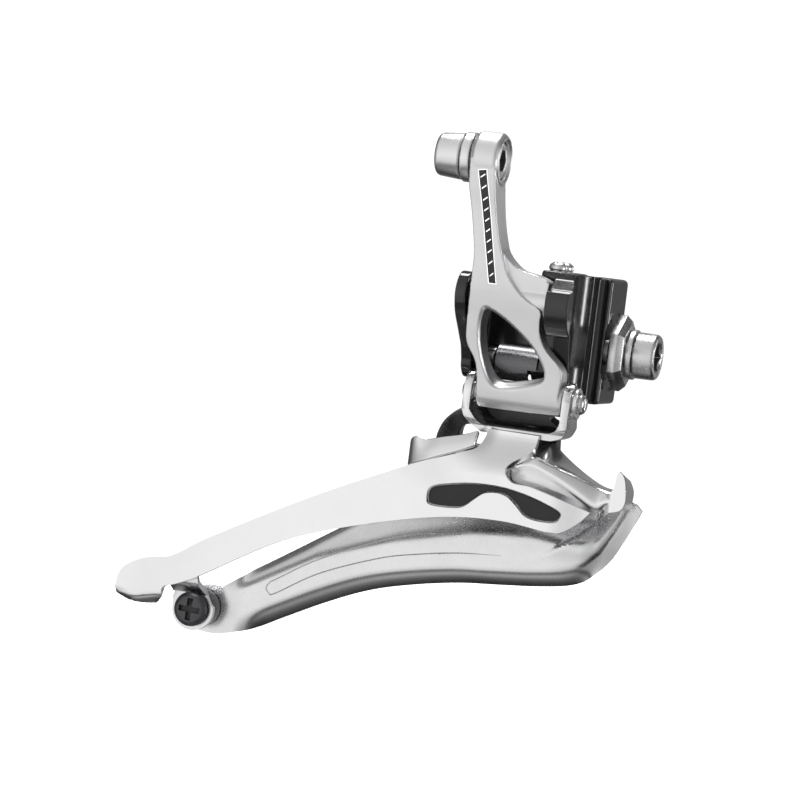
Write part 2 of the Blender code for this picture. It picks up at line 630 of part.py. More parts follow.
def tail_screw():
    """Cross-head screw through both plates' tails, its head towards -Y."""
    profile = [(0.0, -12.5), (1.1, -12.5), (1.5, -12.9), (1.5, -21.7), (3.3, -21.7),
               (3.2, -22.4), (2.2, -23.0), (0.0, -23.1)]
    screw = turned("tail_screw", profile, "Y", TAIL_SCREW, 24)
    slots = []
    for name, half_x, half_z in (("a", 2.0, 0.45), ("b", 0.45, 2.0)):
        slot = box("tail_screw_slot_" + name, (-half_x, -1.0, -half_z), (half_x, 1.0, half_z))
        slot.location = Vector((TAIL_SCREW[0], -23.0, TAIL_SCREW[1])) * MM
        slot.rotation_euler = (0.0, radians(22), 0.0)
        slots.append(slot)
    return cut(screw, slots)


def pivot_bracket():
    """U-shaped bracket: its floor carries the plates, its two ears the lower arm pin."""
    (left_out, left_in), (right_in, right_out) = BRACKET_EARS
    low, high = BRACKET_FLOOR
    outer = ([(left_out, -5.0), (left_out, -13.0)]
             + smooth_line([(-21.2, -14.4), (-19.8, -15.9), (-17.8, low)], 2)
             + smooth_line([(-4.5, low), (-2.5, -16.2), (right_out, -14.4)], 2)
             + [(right_out, -5.0), (right_in, -5.0)])
    inner = (smooth_line([(right_in, -13.6), (-3.6, -15.0), (-5.0, high)], 2)
             + smooth_line([(-17.6, high), (-18.9, -14.8), (left_in, -13.0)], 2)
             + [(left_in, -5.0)])
    bracket = plate("pivot_bracket", [outer + inner], "XZ", -23.5, -13.0)
    side = (arc(CAGE_PIVOT, 3.7, 0, 180, 10)
            + [(CAGE_PIVOT[0] - 3.7, -13.0), (-21.3, -14.8), (-20.3, -15.8), (-20.3, -17.5),
               (-13.6, -17.5), (-13.6, -15.0), (CAGE_PIVOT[0] + 3.7, -13.0)])
    profile = plate("bracket_side", [side], "YZ", -26.0, 2.0)
    combine(bracket, [profile], "INTERSECT")
    return cut(bracket, [rod("bracket_pin_hole", PIN_HOLE, -30.0, 2.0, "X", CAGE_PIVOT, 16)])


def inner_pivot_bracket():
    """Strip behind the inner plate with two ears for the inner link's lower pin."""
    strip = box("inner_pivot_bracket", (-24.4, -11.7, -31.0), (-10.6, -10.5, -26.6))
    ears = []
    side = (arc(TAIL_PIVOT, 3.1, -20, 200, 10)
            + [(-11.7, -25.5), (-11.7, -31.0), (-10.5, -31.0), (-7.0, -25.5)])
    for name, start, end in (("rear", -24.4, -22.8), ("front", -12.2, -10.6)):
        ears.append(plate("inner_bracket_" + name, [side], "YZ", start, end))
    join(strip, ears)
    return cut(strip, [rod("inner_bracket_hole", PIN_HOLE, -30.0, 2.0, "X", TAIL_PIVOT, 16)])


BRIDGE = (         # near edge (x, z), far edge (x, z), wall y, bend z and foot z of the flange
    ((-11.7, -23.1), (-11.6, -22.4), -21.4, -23.7, -24.8),
    ((-10.2, -22.0), (-9.6, -20.4), -23.2, -22.8, -25.4),
    ((-8.2, -21.1), (-7.8, -19.0), -23.1, -21.9, -25.7),
    ((-6.9, -20.4), (-6.5, -18.2), -23.1, -21.6, -25.8),
    ((-5.6, -20.4), (-5.4, -18.4), -23.5, -21.9, -26.0),
    ((-3.6, -21.1), (-3.6, -19.9), -23.8, -22.6, -26.5),
    ((-1.3, -21.8), (-1.2, -21.6), -23.8, -23.5, -27.0),
    ((2.4, -23.1), (1.8, -23.4), -23.4, -25.7, -27.9),
    ((6.0, -24.5), (4.6, -24.7), -22.9, -27.6, -28.4),
    ((7.8, -24.9), (7.0, -25.1), -22.9, -26.6, -27.6),
    ((9.9, -25.0), (9.9, -25.2), -22.9, -26.2, -27.0))
HORN = ((7.6, -28.0), (7.4, -25.1), (8.5, -24.7), (9.2, -23.4), (9.4, -21.4), (9.9, -20.6),
        (10.9, -21.7), (11.4, -23.9), (11.5, -26.2), (10.5, -27.7))
WALL = (                    # (x, z) down the outer wall at its near end, middle and far end
    (-23.0, (10.1, -21.0), (11.0, -24.0), (11.0, -26.2), (10.4, -27.5)),
    (-18.4, (9.8, -21.9), (10.7, -24.3), (10.6, -26.6), (10.4, -27.6)),
    (-13.7, (9.4, -22.7), (10.3, -24.6), (10.2, -26.9), (10.4, -27.8)))


def cage_bridge():
    """Front bridge over the chain: roof, front flange, and a raised horn at its front end."""
    rows = []
    for near, far, wall, bend_z, foot in BRIDGE:
        line = []
        for depth in (-12.9, -15.5, -18.5, -21.2):
            share = (depth + 12.9) / -8.3
            line.append((far[0] + (near[0] - far[0]) * share, depth,
                         far[1] + (near[1] - far[1]) * share))
        line.append((near[0], wall + 0.9, near[1] * 0.85 + bend_z * 0.15))
        line.append((near[0], wall + 0.1, near[1] * 0.3 + bend_z * 0.7))
        line.append((near[0], wall + 0.1, bend_z))
        line.append((near[0], wall + 0.4, bend_z * 0.7 + foot * 0.3))
        line.append((near[0], wall + 0.8, foot))
        rows.append(line)
    bridge = shell("cage_bridge", rows, 0.9)
    horn = plate("bridge_horn", [smooth_line(HORN, 2, closed=True)], "XZ", -23.5, -22.6)
    wall = shell("bridge_wall", [[(x, depth, z) for x, z in line] for depth, *line in WALL], 0.9)
    return join(bridge, [horn, wall])


def rear_bridge():
    """Rear strap: runs along the outer plate's shoulder, then back over the chain."""
    stations = (            # x, y, bottom z, top z
        (-17.6, -23.6, -19.6, -16.9), (-20.0, -23.8, -20.7, -17.9),
        (-24.0, -23.9, -22.3, -18.9), (-27.0, -23.7, -23.6, -19.7),
        (-29.4, -22.7, -24.6, -19.4), (-30.4, -20.6, -25.2, -20.6),
        (-30.6, -17.6, -26.6, -22.4), (-30.6, -14.0, -28.0, -24.4))
    line = smooth_line([Vector(s[:3]) for s in stations], 2)
    tops = smooth_line([Vector((s[0], s[1], s[3])) for s in stations], 2)
    rows = []
    for foot, top in zip(line, tops):
        lean = 1.5 * (1 - ramp(-foot.x, 28.0, 30.4))
        rows.append([(foot.x, foot.y, foot.z),
                     (foot.x, foot.y + lean * 0.35, foot.z * 0.5 + top.z * 0.5),
                     (foot.x, foot.y + lean, top.z)])
    return shell("rear_bridge", rows, 1.0)


# ---------------------------------------------------------------- assembly

def colours():
    return {
        "black_alloy": material("black_alloy", (0.012, 0.012, 0.013), 0.28, 0.0),
        "silver_alloy": material("silver_alloy", (0.62, 0.62, 0.63), 0.38, 1.0),
        "polished_steel": material("polished_steel", (0.74, 0.74, 0.75), 0.14, 1.0),
        "zinc_steel": material("zinc_steel", (0.66, 0.66, 0.67), 0.26, 1.0),
        "dark_steel": material("dark_steel", (0.05, 0.05, 0.055), 0.35, 1.0),
        "black_nylon": material("black_nylon", (0.02, 0.02, 0.02), 0.5, 0.0),
        "spring_steel": material("spring_steel", (0.45, 0.45, 0.46), 0.3, 1.0)}


def place_on_axis(obj, axis_point):
    """Moves a piece's origin to its joint axis without moving the piece."""
    bpy.context.view_layer.update()
    place = obj.matrix_world.copy()
    target = Matrix.Translation(axis_point)
    obj.data.transform(target.inverted() @ place)
    obj.matrix_world = target


def build():
    paint = colours()
    pieces = []

    def add(obj, colour, axis=(0.0, 0.0, 0.0)):
        obj.data.materials.clear()
        obj.data.materials.append(paint[colour])
        place_on_axis(obj, Vector(axis) * MM)
        link_to(obj, PARTS)
        pieces.append(obj)

    arm_axis = (0.0, *ARM_PIVOT)
    link_axis = (0.0, *LINK_PIVOT)
    cage_axis = (0.0, *CAGE_PIVOT)
    clamp_axis = (0.0, *CLAMP_AXIS)
    screw_axis = (TAIL_SCREW[0], 0.0, TAIL_SCREW[1])

    add(body_pieces()[0], "black_alloy")
    add(fixing_bolt(), "zinc_steel")
    add(washer("fixing_bolt_washer", 4.7, 2.7, *BOLT_WASHER, "X", (0.0, 0.0)), "zinc_steel")
    add(tab_hex_washer(), "zinc_steel")
    for name, depth in LIMIT_SCREW_DEPTHS.items():
        add(limit_screw(name, depth), "zinc_steel", (LIMIT_SCREW_X, depth, 0.0))
    for name, pivot in (("upper_outer_pin", ARM_PIVOT), ("upper_inner_pin", LINK_PIVOT)):
        add(pivot_pin(name, pivot, REAR_EAR[0] - 0.1, PIN_HOLE_END - CLEAR), "dark_steel")
    add(return_spring(), "spring_steel")
    add(spring_cover(), "dark_steel")

    add(outer_arm(), "silver_alloy", arm_axis)
    for name, start, end in (("outer_arm_bush_rear", -22.1, -20.4),
                             ("outer_arm_bush_front", -8.8, -7.1)):
        add(washer(name, 2.35, PIN_HOLE, start, end, "X", ARM_PIVOT, 16), "black_nylon",
            arm_axis)
    barrel, grip, clamp_bolt = clamp_pieces()
    add(barrel, "zinc_steel", clamp_axis)
    add(grip, "zinc_steel", clamp_axis)
    add(clamp_bolt, "zinc_steel", clamp_axis)

    add(inner_link(), "black_alloy", link_axis)

    add(outer_cage_plate(), "polished_steel", cage_axis)
    add(window_inlay(), "black_nylon", cage_axis)
    add(inner_cage_plate(), "polished_steel", cage_axis)
    add(pivot_bracket(), "polished_steel", cage_axis)
    add(inner_pivot_bracket(), "polished_steel", cage_axis)
    add(cage_bridge(), "polished_steel", cage_axis)
    add(rear_bridge(), "polished_steel", cage_axis)
    add(tail_tab(), "polished_steel", cage_axis)
    add(washer("tail_spacer", 3.6, 1.8, -19.6, -15.7, "Y", TAIL_SCREW, 20), "zinc_steel",
        cage_axis)
    add(tail_screw(), "dark_steel", screw_axis)
    add(lower_outer_pin(), "zinc_steel", cage_axis)
    add(washer("lower_pin_washer", 2.9, PIN_HOLE, -1.2, -0.6, "X", CAGE_PIVOT, 20),
        "zinc_steel", cage_axis)
    add(pivot_pin("lower_inner_pin", TAIL_PIVOT, -29.6, -5.0), "dark_steel", cage_axis)

    for obj in pieces:
        obj.data.shade_smooth()
        obj.data.set_sharp_from_angle(angle=radians(35))


for leftover in list(bpy.data.objects):
    bpy.data.objects.remove(leftover)
PARTS = collection("front_derailleur")
GUIDES = collection("cutters")
build()
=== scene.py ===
"""Looks of a braze-on front derailleur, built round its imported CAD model.

Lengths below are millimetres in the CAD's frame: X forward along the fixing bolt, +Y
towards the frame, Z up. MM turns them into metres where geometry is made.
"""

import json
from math import atan2, cos, pi, radians, sin

import bmesh
import bpy
from mathutils import Matrix, Vector

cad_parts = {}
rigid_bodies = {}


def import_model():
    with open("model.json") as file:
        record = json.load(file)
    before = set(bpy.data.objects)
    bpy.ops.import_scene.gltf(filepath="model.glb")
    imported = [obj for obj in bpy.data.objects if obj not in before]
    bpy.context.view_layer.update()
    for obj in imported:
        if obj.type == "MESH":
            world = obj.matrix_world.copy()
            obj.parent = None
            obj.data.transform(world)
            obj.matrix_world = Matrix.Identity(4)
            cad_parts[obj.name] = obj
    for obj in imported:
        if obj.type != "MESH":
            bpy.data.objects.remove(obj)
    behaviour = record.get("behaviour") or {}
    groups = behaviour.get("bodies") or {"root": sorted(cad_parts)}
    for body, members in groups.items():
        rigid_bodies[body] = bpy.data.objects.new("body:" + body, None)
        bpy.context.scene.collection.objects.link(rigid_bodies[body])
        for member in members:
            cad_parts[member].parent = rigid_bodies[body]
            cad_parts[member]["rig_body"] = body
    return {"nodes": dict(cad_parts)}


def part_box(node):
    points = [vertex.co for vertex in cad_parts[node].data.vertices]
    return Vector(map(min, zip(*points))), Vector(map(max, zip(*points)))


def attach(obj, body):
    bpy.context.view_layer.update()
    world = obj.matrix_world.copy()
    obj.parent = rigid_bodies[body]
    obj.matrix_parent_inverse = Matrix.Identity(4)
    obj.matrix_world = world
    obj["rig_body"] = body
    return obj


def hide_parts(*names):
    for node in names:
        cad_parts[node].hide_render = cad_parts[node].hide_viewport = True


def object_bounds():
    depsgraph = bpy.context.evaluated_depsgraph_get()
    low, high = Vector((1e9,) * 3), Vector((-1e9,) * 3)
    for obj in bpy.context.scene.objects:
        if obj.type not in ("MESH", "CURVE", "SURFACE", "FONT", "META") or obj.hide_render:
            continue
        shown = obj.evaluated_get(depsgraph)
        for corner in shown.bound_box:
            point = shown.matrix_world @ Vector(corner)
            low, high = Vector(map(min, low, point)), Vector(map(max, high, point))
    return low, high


MM = 0.001
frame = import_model()
cad_low, cad_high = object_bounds()


def middle(node):
    """Centre of a CAD node in millimetres."""
    low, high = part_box(node)
    return (low + high) / 2 / MM


def reach(node):
    """Lowest and highest corner of a CAD node in millimetres."""
    low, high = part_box(node)
    return low / MM, high / MM


ARM_PIVOT = tuple(middle("upper_outer_pin"))[1:]
LINK_PIVOT = tuple(middle("upper_inner_pin"))[1:]
CAGE_PIVOT = tuple(middle("lower_pin_washer"))[1:]
TAIL_PIVOT = tuple(middle("lower_inner_pin"))[1:]
CLAMP_AXIS = tuple(middle("cable_clamp_bolt"))[1:]
SCREW_PLACE = (middle("tail_screw").x, middle("tail_screw").z)
LINK_LENGTH = (Vector(CAGE_PIVOT) - Vector(ARM_PIVOT)).length
REST_LEAN = atan2(CAGE_PIVOT[0] - ARM_PIVOT[0], ARM_PIVOT[1] - CAGE_PIVOT[1])
PIN_RADIUS = 1.75
PIN_HOLE = PIN_RADIUS + 0.3
BOLT_HOLE = 2.7
SCREW_HOLE = 1.8
CLAMP_HOLE = 2.8
WELD = 0.000004         # metres: points nearer than this become one
ON_PLANE = 0.00000001   # metres: points nearer to a cut than this lie on it
ARM_BARREL = 2.8


# ---- shape tools

def link(obj):
    bpy.context.scene.collection.objects.link(obj)
    return obj


def mesh_object(name, points, faces, edges=()):
    """An object made from points in metres."""
    mesh = bpy.data.meshes.new(name)
    mesh.from_pydata(points, edges, faces)
    return link(bpy.data.objects.new(name, mesh))


def grid_faces(columns, height):
    """Four-cornered faces over points that are listed column by column."""
    faces = []
    for i in range(columns - 1):
        for j in range(height - 1):
            first = i * height + j
            faces.append((first, first + 1, first + height + 1, first + height))
    return faces


def apply(obj):
    """The evaluated shape as a plain welded mesh in world space."""
    bpy.context.view_layer.update()
    evaluated = obj.evaluated_get(bpy.context.evaluated_depsgraph_get())
    mesh = bpy.data.meshes.new_from_object(evaluated)
    mesh.transform(obj.matrix_world)
    name = obj.name
    bpy.data.objects.remove(obj)
    shape = bmesh.new()
    shape.from_mesh(mesh)
    bmesh.ops.remove_doubles(shape, verts=shape.verts, dist=WELD)
    bmesh.ops.recalc_face_normals(shape, faces=shape.faces)
    shape.to_mesh(mesh)
    shape.free()
    return link(bpy.data.objects.new(name, mesh))


def smooth_line(points, steps=6, closed=False):
    """Points of a Catmull-Rom curve that passes through every given point."""
    count = len(points)
    spans = count if closed else count - 1
    line = []
    for span in range(spans):
        if closed:
            four = [points[(span + k - 1) % count] for k in range(4)]
        else:
            four = [points[min(max(span + k - 1, 0), count - 1)] for k in range(4)]
        before, start, end, after = (Vector(p) for p in four)
        for step in range(steps):
            t = step / steps
            line.append(0.5 * (2 * start + (end - before) * t
                               + (2 * before - 5 * start + 4 * end - after) * t * t
                               + (3 * start - before - 3 * end + after) * t ** 3))
    if not closed:
        line.append(Vector(points[-1]))
    return line


def arc(centre, radius, start, end, steps=24):
    points = []
    for step in range(steps + 1):
        angle = radians(start + (end - start) * step / steps)
        points.append((centre[0] + radius * cos(angle), centre[1] + radius * sin(angle)))
    return points


def ramp(value, start, end):
    """0 before start, 1 after end, and an S-shaped rise between."""
    t = min(max((value - start) / (end - start), 0.0), 1.0)
    return t * t * (3 - 2 * t)


def value_along(line, place):
    """The value at a place on a line of (place, value) points in order of place."""
    for (start, first), (end, last) in zip(line, line[1:]):
        if (place - end) * (end - start) <= 0:
            share = max((place - start) / (end - start), 0.0)
            return first + (last - first) * share
    return line[-1][1]


def inset(loop, distance):
    """A closed outline moved inwards; a negative distance moves it outwards."""
    points = [Vector(p) for p in loop]
    area = sum(a.x * b.y - b.x * a.y for a, b in zip(points, points[1:] + points[:1]))
    side = 1 if area > 0 else -1
    moved = []
    for k, point in enumerate(points):
        run = points[(k + 1) % len(points)] - points[k - 1]
        run.normalize()
        moved.append(point + Vector((-run.y, run.x)) * side * distance)
    return moved


TURN_TO = {
    "XZ": Matrix(((1, 0, 0, 0), (0, 0, -1, 0), (0, 1, 0, 0), (0, 0, 0, 1))),
    "YZ": Matrix(((0, 0, 1, 0), (1, 0, 0, 0), (0, 1, 0, 0), (0, 0, 0, 1))),
    "X": Matrix.Rotation(pi / 2, 4, "Y"),
    "Y": Matrix.Rotation(-pi / 2, 4, "X"),
    "Z": Matrix.Identity(4),
}


def add_line(data, points):
    """Adds a run of straight pieces through (x, y, z) points in metres to a curve."""
    spline = data.splines.new("POLY")
    spline.points.add(len(points) - 1)
    for point, place in zip(spline.points, points):
        point.co = (*place, 1.0)
    return spline


def tube(name, points, radius, resolution, sizes=()):
    """A round wire through points in metres, its ends closed."""
    data = bpy.data.curves.new(name, "CURVE")
    data.dimensions = "3D"
    data.bevel_depth = radius * MM
    data.bevel_resolution = resolution
    data.use_fill_caps = True
    for point, size in zip(add_line(data, points).points, sizes):
        point.radius = size
    return apply(link(bpy.data.objects.new(name, data)))


def plate(name, loops, plane, near, far, edge=0.0):
    """A flat outline, with any holes, extruded from near to far, its edges rounded."""
    data = bpy.data.curves.new(name, "CURVE")
    data.dimensions = "2D"
    data.fill_mode = "BOTH"
    data.extrude = abs(far - near) / 2 * MM
    for loop in loops:
        points = [(place[0] * MM, place[1] * MM, 0.0) for place in loop]
        add_line(data, points).use_cyclic_u = True
    obj = link(bpy.data.objects.new(name, data))
    half_way = (near + far) / 2 * MM
    shift = (0.0, half_way, 0.0) if plane == "XZ" else (half_way, 0.0, 0.0)
    obj.matrix_world = Matrix.Translation(shift) @ TURN_TO[plane]
    obj = apply(obj)
    return round_edges(obj, edge) if edge else obj


def round_edges(obj, width, segments=3, angle=35):
    bevel = obj.modifiers.new("Edges", "BEVEL")
    bevel.width = width * MM
    bevel.segments = segments
    bevel.limit_method = "ANGLE"
    bevel.angle_limit = radians(angle)
    return apply(obj)


def rod(name, radius, start, end, across, sides=48, axis="X"):
    """A cylinder along an axis; across is where the axis crosses the other two."""
    place = list(across)
    place.insert("XYZ".index(axis), (start + end) / 2)
    bpy.ops.mesh.primitive_cylinder_add(vertices=sides, radius=radius * MM,
                                        depth=abs(end - start) * MM)
    obj = bpy.context.object
    obj.name = name
    obj.matrix_world = Matrix.Translation(Vector(place) * MM) @ TURN_TO[axis]
    return obj


def box(name, low, high, edge=0.0):
    size = [(b - a) * MM for a, b in zip(low, high)]
    bpy.ops.mesh.primitive_cube_add(size=1.0)
    obj = bpy.context.object
    obj.name = name
    obj.data.transform(Matrix.Diagonal((*size, 1.0)))
    obj.location = [(a + b) / 2 * MM for a, b in zip(low, high)]
    return round_edges(obj, edge) if edge else obj


def turned(name, profile, across, sides=72, soft=0, axis="X"):
    """A turned piece: profile is (radius, place along the axis), top end first."""
    if soft:
        profile = soft_profile(profile, soft)
    points = [(radius * MM, 0.0, along * MM) for radius, along in profile]
    edges = [(k, k + 1) for k in range(len(points) - 1)]
    obj = mesh_object(name, points, [], edges)
    screw = obj.modifiers.new("Turn", "SCREW")
    screw.steps = sides
    screw.use_merge_vertices = True
    screw.merge_threshold = WELD
    place = list(across)
    place.insert("XYZ".index(axis), 0.0)
    obj.matrix_world = Matrix.Translation(Vector(place) * MM) @ TURN_TO[axis]
    return apply(obj)


def soft_profile(corners, radius, steps=4):
    """A turning profile with its corners rounded by short arcs."""
    points = [Vector(c) for c in corners]
    line = [points[0]]
    for before, corner, after in zip(points, points[1:], points[2:]):
        back, ahead = before - corner, after - corner
        cut_back = min(radius, back.length * 0.45)
        cut_ahead = min(radius, ahead.length * 0.45)
        start = corner + back.normalized() * cut_back
        end = corner + ahead.normalized() * cut_ahead
        for step in range(steps + 1):
            t = step / steps
            line.append(start * (1 - t) ** 2 + corner * 2 * t * (1 - t) + end * t * t)
    line.append(points[-1])
    return [(p.x, p.y) for p in line]


def combine(target, others, operation):
    for other in others:
        step = target.modifiers.new(other.name, "BOOLEAN")
        step.operation = operation
        step.solver = "EXACT"
        step.object = other
    target = apply(target)
    for other in others:
        bpy.data.objects.remove(other)
    return target


def cut(target, cutters):
    return combine(target, cutters, "DIFFERENCE")


def join(target, others):
    return combine(target, others, "UNION")


def forge(name, obj, voxel):
    """Melts joined shapes into one casting with small fillets at every corner."""
    remesh = obj.modifiers.new("Cast", "REMESH")
    remesh.mode = "VOXEL"
    remesh.voxel_size = voxel * MM
    relax = obj.modifiers.new("Relax", "SMOOTH")
    relax.iterations = 3
    obj = apply(obj)
    obj.name = name
    return obj


def move_points(obj, shape):
    """Moves every vertex with shape(x, y, z), all in millimetres."""
    for vert in obj.data.vertices:
        vert.co = Vector(shape(*(vert.co / MM))) * MM
    obj.data.update()


def slice_up(obj, x_step, z_step):
    """Cuts a mesh into a grid so that it can bend smoothly."""
    grid = bmesh.new()
    grid.from_mesh(obj.data)
    for along, step in ((Vector((1, 0, 0)), x_step), (Vector((0, 0, 1)), z_step)):
        if not step:
            continue
        values = [vert.co.dot(along) / MM for vert in grid.verts]
        for k in range(int(min(values) // step) + 1, int(max(values) // step) + 1):
            everything = grid.verts[:] + grid.edges[:] + grid.faces[:]
            bmesh.ops.bisect_plane(grid, geom=everything, dist=ON_PLANE,
                                   plane_co=along * (k * step * MM), plane_no=along)
    bmesh.ops.triangulate(grid, faces=[f for f in grid.faces if len(f.verts) > 4])
    grid.to_mesh(obj.data)
    grid.free()


def thicken(obj, thickness, edge):
    solid = obj.modifiers.new("Sheet", "SOLIDIFY")
    solid.thickness = thickness * MM
    solid.offset = 0.0
    solid.use_even_offset = True
    obj = apply(obj)
    return round_edges(obj, edge, 3, 50)


def sheet_metal(name, loops, thickness, depth, cell=1.0, edge=0.3):
    """A pressed sheet: a flat outline in X-Z, given its depth in Y by depth(x, z)."""
    obj = plate(name, loops, "XZ", 0.0, 0.0)
    slice_up(obj, cell, cell)
    move_points(obj, lambda x, y, z: (x, depth(x, z), z))
    return thicken(obj, thickness, edge)


def skin(name, rows, thickness, edge):
    """A sheet through a grid of points, made finer with smooth curves both ways."""
    fine = [smooth_line(row, 4) for row in rows]
    columns = [smooth_line(column, 4) for column in zip(*fine)]
    points = [point * MM for column in columns for point in column]
    faces = grid_faces(len(columns), len(columns[0]))
    return thicken(mesh_object(name, points, faces), thickness, edge)


def prism(name, sections):
    """A closed solid through outlines of equal length, each a list of (x, y, z)."""
    count = len(sections[0])
    points = [Vector(p) * MM for section in sections for p in section]
    faces = [tuple(range(count)),
             tuple(reversed(range(len(points) - count, len(points))))]
    for row in range(len(sections) - 1):
        for k in range(count):
            first, second = row * count + k, row * count + (k + 1) % count
            faces.append((first, second, second + count, first + count))
    return apply(mesh_object(name, points, faces))


# ---- finishes

GRAIN_FROM, GRAIN_TO = 0.3, 0.7     # where nearly all of a noise texture's values lie


def add_node(tree, kind, inputs=(), **settings):
    """A new shader node with its settings and its inputs' values."""
    node = tree.nodes.new("ShaderNode" + kind)
    for key, value in settings.items():
        setattr(node, key, value)
    for key, value in dict(inputs).items():
        node.inputs[key].default_value = value
    return node


FINISHES = {}


def finish(name, colour, metallic, roughness, spread=0.06, grain=0.25, stretch=(1, 1, 1),
           bump=0.15, depth=0.012, tint=0.12, coat=0.0, level=0.5):
    """Metal or paint with fine grain, uneven gloss, faint clouding and small marks.

    grain is the size of the texture's grain in millimetres, stretch draws it out along
    an axis, spread is how much the roughness varies and tint how much the colour does.
    """
    new = bpy.data.materials.new(name)
    new.use_nodes = True
    tree = new.node_tree
    wire = tree.links.new
    shader = tree.nodes["Principled BSDF"]
    for key, value in (("Metallic", metallic), ("Coat Weight", coat),
                       ("Coat Roughness", 0.08), ("Specular IOR Level", level)):
        shader.inputs[key].default_value = value
    place = add_node(tree, "TexCoord").outputs["Object"]
    drawn = add_node(tree, "Mapping", {"Scale": stretch})
    wire(place, drawn.inputs["Vector"])

    def noise(scale_mm, detail, vector):
        texture = add_node(tree, "TexNoise", {"Scale": 1 / (scale_mm * MM),
                                              "Detail": detail})
        wire(vector, texture.inputs["Vector"])
        return texture.outputs["Fac"]

    fine = noise(grain, 4.0, drawn.outputs["Vector"])
    cloud = noise(9.0, 3.0, place)
    marks = noise(2.2, 6.0, place)

    def spread_out(fac, low, high):
        span = add_node(tree, "MapRange", {"From Min": GRAIN_FROM, "From Max": GRAIN_TO,
                                           "To Min": low, "To Max": high})
        wire(fac, span.inputs["Value"])
        return span.outputs["Result"]

    def add(first, second):
        total = add_node(tree, "Math", operation="ADD")
        wire(first, total.inputs[0])
        wire(second, total.inputs[1])
        return total.outputs["Value"]

    rough = add(spread_out(fine, roughness - spread, roughness + spread),
                spread_out(marks, -spread * 0.5, spread * 0.6))
    wire(rough, shader.inputs["Roughness"])

    dark = [c * (1 - tint) for c in colour]
    light = [min(c * (1 + tint * 0.35), 1.0) for c in colour]
    shade = add_node(tree, "Mix", {"A": (*dark, 1.0), "B": (*light, 1.0)},
                     data_type="RGBA")
    mixed = add(spread_out(fine, 0.0, 0.55), spread_out(cloud, 0.0, 0.45))
    wire(mixed, shade.inputs["Factor"])
    wire(shade.outputs["Result"], shader.inputs["Base Color"])

    relief = add_node(tree, "Bump", {"Strength": bump, "Distance": depth * MM})
    wire(fine, relief.inputs["Height"])
    wire(relief.outputs["Normal"], shader.inputs["Normal"])
    FINISHES[name] = new
    return new


finish("black_alloy", (0.006, 0.006, 0.0065), 0.0, 0.16, 0.04, 0.3, bump=0.03, depth=0.002,
       coat=0.35, level=0.55)
finish("silver_alloy", (0.94, 0.94, 0.95), 1.0, 0.36, 0.05, 0.14, bump=0.3, depth=0.01,
       tint=0.08)
finish("polished_steel", (0.97, 0.97, 0.975), 1.0, 0.17, 0.04, 0.3, (0.35, 1, 1), bump=0.05,
       depth=0.003, tint=0.05)
finish("satin_steel", (0.90, 0.90, 0.91), 1.0, 0.25, 0.05, 0.16, (0.5, 1, 1), bump=0.14,
       depth=0.005, tint=0.1)
finish("zinc_steel", (0.96, 0.96, 0.96), 1.0, 0.3, 0.04, 0.2, (3, 0.6, 0.6), bump=0.08,
       depth=0.004, tint=0.05)
finish("bolt_steel", (0.80, 0.80, 0.81), 1.0, 0.28, 0.06, 0.2, (3, 0.6, 0.6), bump=0.1,
       depth=0.005, tint=0.12)
finish("cover_steel", (0.16, 0.16, 0.165), 0.9, 0.26, 0.06, 0.2, (0.3, 1, 1), bump=0.2,
       depth=0.006, tint=0.2)
finish("dark_steel", (0.08, 0.08, 0.084), 0.8, 0.3, 0.08, 0.2, bump=0.2, depth=0.008,
       tint=0.25)
finish("black_nylon", (0.016, 0.016, 0.017), 0.0, 0.5, 0.06, 0.25, bump=0.2, depth=0.008,
       tint=0.2, level=0.25)
finish("spring_steel", (0.5, 0.5, 0.51), 1.0, 0.26, 0.06, 0.2, bump=0.2, depth=0.006,
       tint=0.15)
finish("print_black", (0.012, 0.012, 0.012), 0.0, 0.34, 0.05, 0.3, bump=0.1, depth=0.003)
finish("print_white", (0.86, 0.86, 0.86), 0.0, 0.4, 0.05, 0.3, bump=0.1, depth=0.003,
       tint=0.05)


def dress(obj, surface, angle=40):
    obj.data.materials.clear()
    obj.data.materials.append(FINISHES[surface])
    obj.data.shade_smooth()
    obj.data.set_sharp_from_angle(angle=radians(angle))


OWN = None      # stands for the body of the piece's own CAD node


def place_piece(obj, surface, body, node=None, angle=40):
    """Gives a piece its surface and the body that it rides on, and hides the CAD node that
    it stands for.
    """
    dress(obj, surface, angle)
    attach(obj, body or frame["nodes"][node]["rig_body"])
    if node:
        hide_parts(node)
    return obj


def darken_socket(obj, axis, near, far, across, radius):
    """Paints the faces inside a socket black as painted shade, from near to far along its
    axis.
    """
    obj.data.materials.append(FINISHES["print_black"])
    along = "XYZ".index(axis)
    for face in obj.data.polygons:
        at = face.center / MM
        beside = Vector([at[k] for k in range(3) if k != along]) - Vector(across)
        if near < at[along] < far and beside.length < radius:
            face.material_index = len(obj.data.materials) - 1


# ---- fixed body

